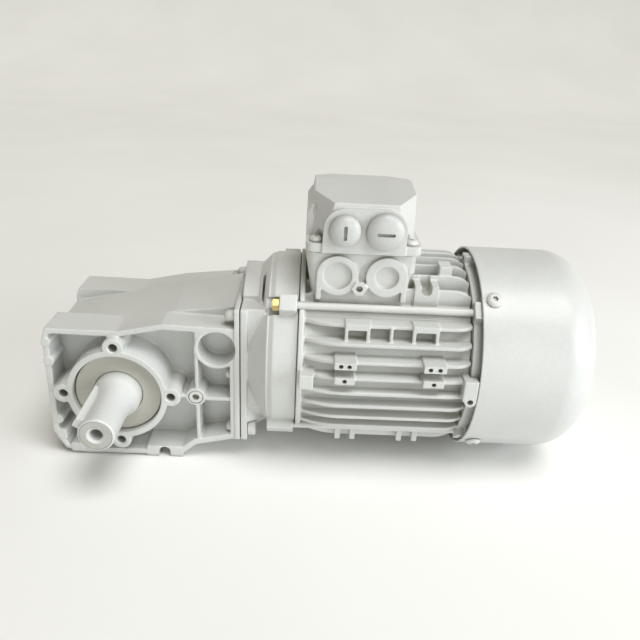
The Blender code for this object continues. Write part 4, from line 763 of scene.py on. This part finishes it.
def make_drive_end():
    shield = prism(plate_outline(FLANGE_CORNER), "X", -54.2, -49.5)
    cone = lathe(((-50.5, 50.5), (-34.8, 67.0)), "X", (0.0, 0.0, 0.0), BIG, closed=False)
    square = prism(((-50.0, -36.0), (50.0, -36.0), (50.0, 45.0), (-50.0, 45.0)), "X", -50.0, -35.0)
    edge = math.asin(CROWN_Y / CROWN_R)
    arc = [-edge + 2.0 * edge * k / 24 for k in range(25)]
    crown_line = [(CROWN_Y, 30.0), (-CROWN_Y, 30.0)]
    crown_line += [(CROWN_R * math.sin(a), CROWN_R * math.cos(a)) for a in arc]
    crown = prism(crown_line, "X", -54.2, -38.0)
    low = loft(
        (
            (-50.0, ((-50.0, -63.0), (50.0, -63.0), (50.0, -36.0), (-50.0, -36.0))),
            (-33.0, ((-40.0, -52.0), (40.0, -52.0), (52.0, -30.0), (-52.0, -30.0))),
        ),
        "X",
    )
    ring_profile = (
        (RING_X0, 30.0),
        (RING_X0, RING_R - 5.0),
        (RING_X0 + 1.5, RING_R - 1.5),
        (RING_X0 + 5.0, RING_R),
        (RING_X1, RING_R),
        (RING_X1, 50.0),
        (-28.5, 50.0),
        (-28.5, 30.0),
    )
    ring = lathe(ring_profile, "X", (0.0, 0.0, 0.0), BIG)
    hub = lathe(((-36.0, 31.0), (-16.8, 29.0)), "X", (0.0, 0.0, 0.0), WIDE, closed=False)
    shield = join(shield, cone, square, crown, low, ring, hub)
    for degrees in CORNERS:
        long_lug = abs(degrees) > 90.0
        lug = box(RING_X0 + 1.0 if long_lug else -27.0, RING_X1 - 1.2, -6.2, 6.2, 60.0, 75.2)
        shield = join(shield, turned(lug, degrees))
    cuts = [box(-40.2, -38.4, -42.5, -16.0, 46.0, 66.0)]
    for degrees in CORNERS:
        if abs(degrees) < 90.0:
            cuts.append(turned(box(RING_X0 - 1.0, -27.0, -6.6, 6.6, 64.6, 80.0), degrees))
    for y, z in FLANGE_SCREWS:
        if z < -50.0:
            span = sorted((y - math.copysign(7.0, y), math.copysign(60.0, y)))
            cuts.append(box(-49.5, -36.0, span[0], span[1], -70.0, -50.0))
    shield = cast(cut(shield, *cuts), 0.55, 3)
    shield = cut(shield, rod("X", (0.0, 0.0, 0.0), 60.5, -28.5, -10.0, BIG))
    shield = join(shield, lathe(((-29.5, 31.0), (-16.8, 29.0)), "X", (0.0, 0.0, 0.0), WIDE, closed=False))
    cuts = [
        rod("X", (0.0, 0.0, 0.0), MOTOR_BEARING_R + 0.5, -31.6, -10.0, WIDE),
        rod("X", (0.0, 0.0, 0.0), 14.0, -60.0, -10.0, WIDE),
        rod("X", (0.0, 0.0, 0.0), 20.1, -60.0, -46.6, WIDE),
    ]
    for degrees in CORNERS:
        if abs(degrees) > 90.0:
            cuts.append(turned(rod("X", (0.0, 0.0, ROD_AT), 5.2, -40.0, -27.0, SMALL), degrees))
        cuts.append(turned(rod("X", (0.0, 0.0, ROD_AT), ROD_R + 0.25, -30.0, -10.0, SMALL), degrees))
    for y, z in FLANGE_SCREWS:
        cuts.append(rod("X", (0.0, y, z), 4.3, -60.0, -48.0 if z > 0 else -46.0, SMALL))
    shield = cut(shield, *cuts)
    publish(shield, "drive_end_casting", CAST_PAINT, "painted_casting", "frame", "drive_end_shield")

    for k, (y, z) in enumerate(FLANGE_SCREWS):
        profile = [(-66.2, 0.02), (-66.0, 1.6), (-65.3, 3.0), (-64.2, 3.8), (-62.6, 4.1)]
        if z < -50.0:
            profile += [(-49.2, 4.1), (-49.2, 6.2), (-48.9, 6.5), (-44.0, 6.5), (-43.3, 5.8), (-43.2, 0.02)]
        else:
            profile += [(-48.4, 4.1), (-48.4, 0.02)]
        screw = lathe(profile, "X", (0.0, y, z), SMALL, closed=False)
        name, node = f"flange_screw_round_{k + 1}", f"flange_screw_{k + 1}"
        publish(screw, name, PART_PAINT, "painted_fastener", "frame", node)


def make_tie_rods():
    for k, degrees in enumerate(CORNERS):
        start = -33.6 if abs(degrees) < 90.0 else -34.2
        profile = (
            (start, 0.02),
            (start, ROD_R - 0.6),
            (start + 0.6, ROD_R),
            (115.6, ROD_R),
            (116.2, ROD_R - 0.6),
            (116.2, 0.02),
        )
        bar = turned(lathe(profile, "X", (0.0, 0.0, ROD_AT), SMALL, closed=False), degrees)
        name, node = f"tie_rod_painted_{k + 1}", f"tie_rod_{k + 1}"
        publish(bar, name, PART_PAINT, "painted_fastener", "frame", node)
        thread = rod("X", (0.0, 0.0, ROD_AT), ROD_R + 0.1, -40.0, -20.0, SMALL)
        nut = cut(prism(hexagon(0.0, ROD_AT, 4.6), "X", -31.8, -27.4), thread)
        nut = rounded(nut, 0.25, 2)
        publish(turned(nut, degrees), f"hex_nut_{k + 1}", BRASS, "nut_brass", "frame", f"tie_rod_nut_{k + 1}")


# ---------------------------------------------------------------- motor, stator housing and terminal box

def fin(offset, x0, x1, side, sign, root=62.0):
    """One cooling fin with swept ends; side 'Y' makes a level fin on a flank, side 'Z' an upright one."""
    reach = math.sqrt(FIN_R ** 2 - offset ** 2)
    foot = math.sqrt(root ** 2 - min(abs(offset), root - 1.0) ** 2)
    span = reach - foot
    outline = [(x0 + 0.4, sign * foot)]
    for k in range(11):
        t = k / 10
        drop = 7.8 * (1.0 - t) ** 2.1
        outline.append((x0 + 0.4 + 28.0 * t, sign * max(reach - drop, foot + 0.6)))
    for k in range(7):
        t = k / 6
        outline.append((x1 - 13.0 + 13.0 * t, sign * (reach - 5.0 * t ** 2.4)))
    outline.append((x1, sign * foot))
    bm = bmesh.new()
    rows = []
    for edge in (-1.0, 1.0):
        row = []
        for x, height in outline:
            half = FIN_T / 2 + 0.5 * min(1.0, max(0.0, reach - abs(height)) / span)
            across = offset + edge * half
            row.append(bm.verts.new((x, across, height) if side == "Z" else (x, height, across)))
        rows.append(row)
    count = len(outline)
    bm.faces.new(rows[0])
    bm.faces.new(rows[1])
    for k in range(count):
        follow = (k + 1) % count
        bm.faces.new((rows[0][k], rows[0][follow], rows[1][follow], rows[1][k]))
    return work_object(bm)


def base_section(x0, x1, y, radius):
    """A level section of the terminal box, with rounded corners."""
    return fillet(((x0, -y), (x1, -y), (x1, y), (x0, y)), radius)


def lid_section(x0, x1, y, along, across):
    """A level section of the lid, with corners cut off by along in X and across in Y."""
    return (
        (x0 + along, -y),
        (x1 - along, -y),
        (x1, -y + across),
        (x1, y - across),
        (x1 - along, y),
        (x0 + along, y),
        (x0, y - across),
        (x0, -y + across),
    )


def entry_boss(x, z, radius):
    """A round cable-entry boss and the leg of the arch that runs down from it."""
    side = math.copysign(1.0, x - (ENTRY_XA + ENTRY_XB) / 2)
    body = rod("Y", (x, 0.0, z), radius, -48.2, -42.0, WIDE)
    leg = sorted((x + side * (radius - 3.6), x + side * radius))
    return join(body, box(leg[0], leg[1], -48.2, -42.0, 54.0, z))


def two_sided(low, high):
    return [sorted((sign * low, sign * high)) for sign in (-1.0, 1.0)]


def make_stator_housing():
    shell = ((BODY_X0, 50.0), (BODY_X0, BODY_R), (BODY_X1, BODY_R), (BODY_X1, 50.0))
    tube = lathe(shell, "X", (0.0, 0.0, 0.0), BIG)
    collar = ((BODY_X0, 55.0), (BODY_X0, 70.5), (-9.5, 70.5), (-8.5, 66.5), (-8.5, 55.0))
    pieces = [lathe(collar, "X", (0.0, 0.0, 0.0), BIG)]
    for sign in (-1.0, 1.0):
        for k in range(4):
            for place in (FIN_PITCH * (k + 0.5), -FIN_PITCH * (k + 0.5)):
                pieces.append(fin(place, -10.0, BODY_X1 - 0.4, "Y", sign))
                pieces.append(fin(place, -10.0, BODY_X1 - 0.4, "Z", sign))
    for low, high in two_sided(60.0, 78.5):
        pieces.append(box(-11.2, -1.3, low, high, -1.2, 9.6))
        pieces.append(box(103.5, 108.6, low, high, -6.6, 9.5))
    for low, high in two_sided(70.6, 78.5):
        pieces.append(box(108.0, ARM_X1, low, high, ARM_Z, 9.5))
        pieces.append(rod("Y", (ARM_X1 - ARM_R, 0.0, ARM_Z), ARM_R, low, high, SMALL))
    for low, high in two_sided(60.0, 66.5):
        pieces.append(box(-1.5, 106.0, low, high, -6.0, 6.0))
    for degrees in CORNERS:
        pieces.append(turned(box(BODY_X0 + 0.4, BODY_X1 - 0.2, -4.4, 4.4, 56.0, 66.7), degrees))
    housing = join(tube, *pieces)
    additions = []
    for low, high in two_sided(62.0, 78.2):
        for x0, x1 in ((12.6, 28.0), (74.0, 90.0)):
            additions.append(box(x0, x1, low, high, 14.9, 20.5))
            additions.append(box(x0 + 0.6, x1 - 0.6, low, high, 3.4, 8.8))
    for low, high in two_sided(54.0, 64.6):
        for x0, x1 in ((19.0, 36.5), (66.0, 84.5)):
            additions.append(box(x0, x1, low, high, 38.8, 43.6))
            additions.append(box(x0, x0 + 2.4, low, high, 29.0, 39.5))
            additions.append(box(x1 - 2.4, x1, low, high, 29.0, 39.5))
        additions.append(box(50.2, 52.6, low, high, 29.0, 41.0))
    for low, high in two_sided(40.2, 46.3):
        for x0 in (18.0, 29.5, 66.0, 78.0):
            additions.append(box(x0, x0 + 4.2, low, high, -64.0, -44.0))
    for low, high in two_sided(30.0, 44.0):
        additions.append(box(67.4, 84.6, low, high, 46.0, 65.5))
    additions.append(box(86.0, 95.0, -30.0, -17.0, 60.0, 75.5))
    housing = join(housing, *additions)
    base = loft(
        (
            (46.0, base_section(-3.6, 61.6, BOX_Y - 0.4, BASE_CORNER)),
            (68.0, base_section(-7.4, 63.8, BOX_Y - 0.2, BASE_CORNER)),
            (SEAM_Z - 3.0, base_section(-10.3, 66.6, BOX_Y, BASE_CORNER)),
            (SEAM_Z - 0.4, base_section(-10.3, 66.6, BOX_Y, BASE_CORNER)),
        ),
        "Z",
    )
    housing = join(
        housing,
        base,
        entry_boss(ENTRY_XA, ENTRY_Z, 14.5),
        entry_boss(ENTRY_XB, ENTRY_Z, 14.5),
        prism(hexagon(EARTH_X, EARTH_Z, 5.6), "Y", -49.5, -42.0),
    )
    cuts = [
        rod("Y", (ENTRY_XA, 0.0, ENTRY_Z), 9.9, -52.0, -45.6, WIDE),
        rod("Y", (ENTRY_XB, 0.0, ENTRY_Z), 8.2, -52.0, -45.6, WIDE),
    ]
    for low, high in two_sided(29.0, 50.0):
        cuts.append(box(72.4, 79.6, low, high, 61.6, 70.0))
        cuts.append(rod("Y", (76.0, 0.0, 61.6), 3.6, low, high, SMALL))
    housing = cast(cut(housing, *cuts), 0.55, 2, 0.16)
    cuts = [
        rod("X", (0.0, 0.0, 0.0), BORE_R, -20.0, 120.0, BIG),
        loft(
            (
                (66.0, base_section(-3.2, 59.6, BOX_Y - 4.4, BASE_CORNER - 4.2)),
                (SEAM_Z + 1.0, base_section(-6.1, 62.4, BOX_Y - 4.2, BASE_CORNER - 4.2)),
            ),
            "Z",
        ),
        rod("Z", (BOX_X, 0.0, 0.0), 12.0, 50.0, 70.0, SMALL),
        rod("Y", (EARTH_X, 0.0, EARTH_Z), 2.3, -52.0, -46.0, SMALL),
    ]
    for x, z in ((17.2, 17.7), (22.9, 17.7), (78.6, 17.7), (85.2, 17.7), (20.2, 6.1), (82.2, 6.1)):
        cuts.append(rod("Y", (x, 0.0, z), 1.6, -80.0, -70.0, SMALL))
    for low, high in two_sided(72.5, 80.0):
        cuts.append(rod("Y", (ARM_X1 - ARM_R, 0.0, ARM_Z), 2.1, low, high, SMALL))
    for degrees in CORNERS:
        cuts.append(turned(rod("X", (0.0, 0.0, ROD_AT), ROD_R + 0.3, -20.0, -8.0, SMALL), degrees))
    housing = cut(housing, *cuts)
    for x, y in LID_SCREWS:
        housing = join(housing, rod("Z", (x, y, 0.0), 4.2, SEAM_Z - 13.5, SEAM_Z - 0.4, SMALL))
    cuts = [rod("Z", (x, y, 0.0), 2.3, SEAM_Z - 12.0, SEAM_Z + 1.0, SMALL) for x, y in LID_SCREWS]
    housing = cut(housing, *cuts)
    publish(housing, "stator_casting", CAST_PAINT, "painted_casting", "frame", "stator_housing")


def arch_outline():
    points = [(57.6, SEAM_Z + 0.5), (0.4, SEAM_Z + 0.5)]
    for k in range(13):
        angle = math.pi - math.pi / 2 * k / 12
        points.append((15.4 + 14.4 * math.cos(angle), 105.2 + 14.4 * math.sin(angle)))
    for k in range(13):
        angle = math.pi / 2 - math.pi / 2 * k / 12
        points.append((43.0 + 14.4 * math.cos(angle), 105.2 + 14.4 * math.sin(angle)))
    return points


def make_terminal_lid():
    lid = loft(
        (
            (SEAM_Z + 0.5, lid_section(-8.4, 64.9, BOX_Y + 2.0, 9.7, 16.0)),
            (111.0, lid_section(-7.2, 64.9, BOX_Y + 1.0, 12.2, 19.3)),
            (LID_TOP_Z - 1.0, lid_section(-5.8, 64.8, BOX_Y - 0.6, 13.5, 21.0)),
        ),
        "Z",
    )
    gable = ((-44.0, 121.8), (44.0, 121.8), (44.0, 122.2), (0.0, LID_RIDGE_Z), (-44.0, 122.2))
    column = prism(lid_section(-5.8, 64.8, BOX_Y - 0.6, 13.5, 21.0), "Z", 110.0, 140.0)
    roof = boolean(prism(gable, "X", -5.6, 64.6), [column], "INTERSECT")
    rim = fillet(((-10.5, -47.4), (69.0, -47.4), (69.0, 47.4), (-10.5, 47.4)), 6.0)
    flange = prism(rim, "Z", SEAM_Z + 0.5, 94.6)
    wall = ((-10.3, -31.0), (-6.0, -31.0), (-6.0, 31.0), (-10.3, 31.0))
    slope = ((-7.0, -31.0), (-6.0, -31.0), (-6.0, 31.0), (-7.0, 31.0))
    panel = loft(((94.0, wall), (111.0, wall), (116.0, slope)), "Z")
    arch = prism(arch_outline(), "Y", -BOX_Y - 3.6, -BOX_Y + 2.0)
    lid = cast(join(lid, roof, flange, panel, arch), 0.45, 2)
    hollow = loft(
        (
            (SEAM_Z - 1.0, lid_section(-4.4, 60.9, BOX_Y - 2.0, 12.0, 18.5)),
            (111.0, lid_section(-3.2, 60.9, BOX_Y - 3.0, 13.0, 20.0)),
            (LID_TOP_Z - 4.0, lid_section(-2.2, 61.2, BOX_Y - 4.2, 13.5, 21.0)),
        ),
        "Z",
    )
    cuts = [
        hollow,
        rod("Y", (CAP_A_X, 0.0, CAP_Z), 8.3, -60.0, -38.0, MEDIUM),
        rod("Y", (CAP_B_X, 0.0, CAP_Z), 10.3, -60.0, -38.0, MEDIUM),
    ]
    for x, y in LID_SCREWS:
        pocket = ((94.6, 0.02), (94.6, 5.3), (99.0, 5.3), (102.0, 3.6), (103.4, 0.02))
        cuts.append(lathe(pocket, "Z", (x, y, 0.0), SMALL, closed=False))
    cuts += [rod("Z", (x, y, 0.0), 2.3, 80.0, 100.0, SMALL) for x, y in LID_SCREWS]
    lid = cut(lid, *cuts)
    publish(lid, "terminal_lid_casting", CAST_PAINT, "painted_casting", "frame", "terminal_box_lid")

    for k, (x, y) in enumerate(LID_SCREWS):
        profile = [(80.0, 0.02), (80.0, 2.0), (94.9, 2.0), (94.9, 4.4), (95.4, 4.7)]
        profile += [(96.2, 4.6), (97.2, 3.9), (97.9, 2.6), (98.1, 0.02)]
        screw = lathe(profile, "Z", (x, y, 0.0), SMALL, closed=False)
        screw = cut(screw, moved(star(1.5, 96.4, 100.0), x, y, 0.0))
        name, node = f"lid_screw_domed_{k + 1}", f"lid_screw_{k + 1}"
        publish(screw, name, PART_PAINT, "painted_fastener", "frame", node)


def make_blanking_plug(node, x, radius, thread, slot_upright):
    face = -BOX_Y - 3.9
    profile = [(-40.5, 0.02), (-40.5, thread - 1.0), (-40.9, thread), (face, thread)]
    profile += [(face, radius - 0.6), (face - 0.5, radius - 0.1), (face - 1.2, radius)]
    for k in range(1, 15):
        angle = math.pi / 2 * k / 14
        profile.append((face - 2.4 - 5.4 * math.sin(angle), max(radius * math.cos(angle) ** 0.82, 0.02)))
    plug = lathe(profile, "Y", (x, 0.0, CAP_Z), WIDE, closed=False)
    length = radius * 0.46
    half = [(length, 1.15), (-length, 1.15), (-length, -1.15), (length, -1.15)]
    outline = [(x + (b if slot_upright else a), CAP_Z + (a if slot_upright else b)) for a, b in half]
    plug = cut(plug, prism(fillet(outline, 1.0), "Y", -62.0, face - 4.8))
    publish(plug, node + "_domed", CAP_PLASTIC, "plug_plastic", "frame", node)


# ---------------------------------------------------------------- motor, fan end

def make_rear_end():
    start = BODY_X1 + 0.3
    plate = ((start, 24.5), (start, 70.0), (118.0, 70.0), (118.0, 24.5))
    shield = lathe(plate, "X", (0.0, 0.0, 0.0), BIG)
    additions = [rod("X", (0.0, 0.0, 0.0), 29.5, 100.0, 119.0, WIDE)]
    for degrees in CORNERS:
        additions.append(turned(box(start, 128.0, -6.4, 6.4, 58.0, 75.4), degrees))
    for degrees in (0.0, 180.0):
        additions.append(turned(box(start, 117.5, -5.6, 5.6, 60.0, 75.6), degrees))
    for degrees in COVER_SCREWS:
        additions.append(turned(box(116.0, 128.0, -6.0, 6.0, 60.0, 75.2), degrees))
    shield = cast(join(shield, *additions), 0.8, 3)
    cuts = [
        rod("X", (0.0, 0.0, 0.0), MOTOR_BEARING_R + 0.5, 90.0, 116.6, WIDE),
        rod("X", (0.0, 0.0, 0.0), 14.0, 90.0, 130.0, MEDIUM),
    ]
    for degrees in CORNERS:
        cuts.append(turned(rod("X", (0.0, 0.0, ROD_AT), ROD_R + 0.25, 100.0, 116.8, SMALL), degrees))
    for degrees in COVER_SCREWS:
        cuts.append(turned(rod("Z", (COVER_SCREW_X, 0.0, 0.0), 2.4, 62.0, 80.0, SMALL), degrees))
    for degrees in (0.0, 180.0):
        cuts.append(turned(rod("X", (0.0, 0.0, 72.0), 2.2, 100.0, 114.5, SMALL), degrees))
    shield = cut(shield, *cuts)
    publish(shield, "rear_shield_casting", CAST_PAINT, "painted_casting", "frame", "rear_end_shield")


def make_fan_cover():
    outer = [(COVER_X0, COVER_R - 0.4), (COVER_X0 + 0.3, COVER_R - 0.05), (COVER_X0 + 0.9, COVER_R)]
    inner = [(COVER_X0, COVER_R - COVER_T + 0.3), (COVER_X0 + 0.6, COVER_R - COVER_T)]
    for k in range(25):
        angle = math.pi / 2 * k / 24
        along, across = math.sin(angle), math.cos(angle)
        outer.append((COVER_X1 - COVER_CORNER * (1 - along), COVER_R - COVER_CORNER * (1 - across)))
        small = COVER_CORNER - COVER_T
        inner.append((COVER_X1 - COVER_CORNER + small * along, COVER_R - COVER_CORNER + small * across))
    outer.append((COVER_X1, 0.02))
    inner.append((COVER_X1 - COVER_T, 0.02))
    cover = lathe([*outer, *reversed(inner)], "X", (0.0, 0.0, 0.0), 192)
    cuts = []
    for ring, (low, high, count) in enumerate(((16.0, 29.0, 8), (33.0, 46.0, 12))):
        for k in range(count):
            outline = fillet(((-2.1, low), (2.1, low), (2.1, high), (-2.1, high)), 2.0)
            slot = prism(outline, "X", COVER_X1 - 6.0, COVER_X1 + 5.0)
            cuts.append(turned(slot, 360.0 * (k + 0.5 * ring) / count))
    for degrees in COVER_SCREWS:
        cuts.append(turned(rod("Z", (COVER_SCREW_X, 0.0, 0.0), 2.7, 70.0, 82.0, SMALL), degrees))
    cover = cut(cover, *cuts)
    publish(cover, "fan_cover_pressing", SHEET_PAINT, "painted_sheet", "frame", "fan_cover", sharp=50.0)
    for k, degrees in enumerate(COVER_SCREWS):
        profile = [(66.0, 0.02), (66.0, 2.1), (78.3, 2.1), (78.3, 5.2), (78.7, 5.6)]
        profile += [(79.4, 5.5), (80.3, 4.8), (80.9, 3.4), (81.0, 0.02)]
        screw = lathe(profile, "Z", (COVER_SCREW_X, 0.0, 0.0), MEDIUM, closed=False)
        screw = cut(screw, moved(star(2.4, 79.0, 84.0), COVER_SCREW_X, 0.0, 0.0))
        name, node = f"cover_screw_domed_{k + 1}", f"fan_cover_screw_{k + 1}"
        publish(turned(screw, degrees), name, PART_PAINT, "painted_fastener", "frame", node)


# ---------------------------------------------------------------- CAD pieces that stay

def dress(look, *names):
    for name in names:
        node = frame["nodes"][name]
        node.data.materials.clear()
        node.data.materials.append(look)


def dress_inner_pieces():
    dress(
        BRUSHED,
        "output_bearing_front",
        "output_bearing_rear",
        "intermediate_bearing_front",
        "intermediate_bearing_rear",
        "front_motor_bearing",
        "rear_motor_bearing",
        "bearing_preload_washer",
        "fan_circlip",
    )
    dress(TURNED_X, "rotor_shaft")
    dress(GEAR_STEEL, "output_gear", "intermediate_pinion_shaft", "bevel_gear", "bevel_pinion")
    dress(RUBBER, "input_shaft_seal", "flange_gasket", "lid_gasket")
    dress(BLOCK_PLASTIC, "terminal_block")
    dress(COPPER, "winding_front", "winding_rear")
    dress(LAMINATION, "stator_core", "rotor_core")
    dress(CAST_METAL, "rotor_end_ring_front", "rotor_end_ring_rear")
    dress(DARK_PLASTIC, "cooling_fan")


# ---------------------------------------------------------------- stage, light and camera

def make_stage():
    low, _ = CAD_BOX
    bm = bmesh.new()
    half = 7.0
    flat_to = 2.2
    bend = 1.6
    slope = math.radians(55.0)
    rise = 3.0
    sweep = [(-half, 0.0), (flat_to, 0.0)]
    for k in range(1, 13):
        angle = slope * k / 12
        sweep.append((flat_to + bend * math.sin(angle), bend * (1.0 - math.cos(angle))))
    run = sweep[-1]
    sweep.append((run[0] + rise * math.cos(slope), run[1] + rise * math.sin(slope)))
    rows = []
    for y, z in sweep:
        rows.append([bm.verts.new((x, y, low.z - 0.0005 + z)) for x in (-half, half)])
    for first, second in zip(rows, rows[1:]):
        bm.faces.new((first[0], first[1], second[1], second[0]))
    mesh = bpy.data.meshes.new("floor")
    bm.to_mesh(mesh)
    bm.free()
    for polygon in mesh.polygons:
        polygon.use_smooth = True
    floor = bpy.data.objects.new("floor", mesh)
    bpy.context.scene.collection.objects.link(floor)
    made, tree, shader = new_material("floor_white")
    place = object_space(tree)
    tone = ramp(tree, noise(tree, place, 3.0), 0.3, 0.7, ((0.84, 0.84, 0.825), (0.88, 0.88, 0.865)))
    link(tree, tone, shader.inputs["Base Color"])
    shader.inputs["Roughness"].default_value = 0.9
    shader.inputs["Specular IOR Level"].default_value = 0.1
    mesh.materials.append(made)


def area_light(name, place, target, size, power, color):
    data = bpy.data.lights.new(name, "AREA")
    data.shape = "RECTANGLE"
    data.size, data.size_y = size
    data.energy = power
    data.color = color
    lamp = bpy.data.objects.new(name, data)
    lamp.location = place
    lamp.rotation_euler = (Vector(target) - Vector(place)).to_track_quat("-Z", "Y").to_euler()
    bpy.context.scene.collection.objects.link(lamp)


def make_lights():
    middle = (0.0, 0.0, 0.1)
    area_light("right", (1.5, -0.7, 0.6), middle, (0.8, 0.8), 19.0, (0.93, 0.97, 1.0))
    area_light("front", (0.15, -1.6, 0.55), middle, (1.4, 0.7), 6.5, (0.95, 0.98, 1.0))
    data = bpy.data.lights.new("overhead", "SUN")
    data.energy = 2.1
    data.angle = math.radians(35.0)
    lamp = bpy.data.objects.new("overhead", data)
    lamp.rotation_euler = (-Vector((0.25, -0.30, 1.0))).to_track_quat("-Z", "Y").to_euler()
    bpy.context.scene.collection.objects.link(lamp)
    world = bpy.data.worlds.new("studio")
    world.use_nodes = True
    background = world.node_tree.nodes["Background"]
    background.inputs["Color"].default_value = (1.0, 0.86, 0.45, 1.0)
    background.inputs["Strength"].default_value = 0.12
    bpy.context.scene.world = world
    bpy.context.scene.view_settings.view_transform = "Standard"


def make_camera():
    yaw = math.radians(1.64)
    pitch = math.radians(25.14)
    roll = math.radians(3.08)
    forward = Vector((math.sin(yaw) * math.cos(pitch), math.cos(yaw) * math.cos(pitch), -math.sin(pitch)))
    right = Vector((math.cos(yaw), -math.sin(yaw), 0.0))
    up = right.cross(forward)
    tilt_right = right * math.cos(roll) + up * math.sin(roll)
    tilt_up = up * math.cos(roll) - right * math.sin(roll)
    data = bpy.data.cameras.new("camera")
    data.sensor_width = 36.0
    data.lens = 35.9
    data.clip_start = 0.01
    data.clip_end = 50.0
    camera = bpy.data.objects.new("camera", data)
    turn = Matrix((tilt_right, tilt_up, -forward)).transposed().to_4x4()
    spot = AXIS_POINT + Vector((-9.82, -457.41, 230.44)) * 0.001
    camera.matrix_world = Matrix.Translation(spot) @ turn
    bpy.context.scene.collection.objects.link(camera)
    bpy.context.scene.camera = camera


make_gear_housing()
make_output_end()
make_oil_plug()
make_drive_end()
make_tie_rods()
make_stator_housing()
make_terminal_lid()
make_blanking_plug("blanking_plug_m16", CAP_A_X, 10.7, 8.0, True)
make_blanking_plug("blanking_plug_m20", CAP_B_X, 12.8, 10.0, False)
make_rear_end()
make_fan_cover()
dress_inner_pieces()
make_stage()
make_lights()
make_camera()
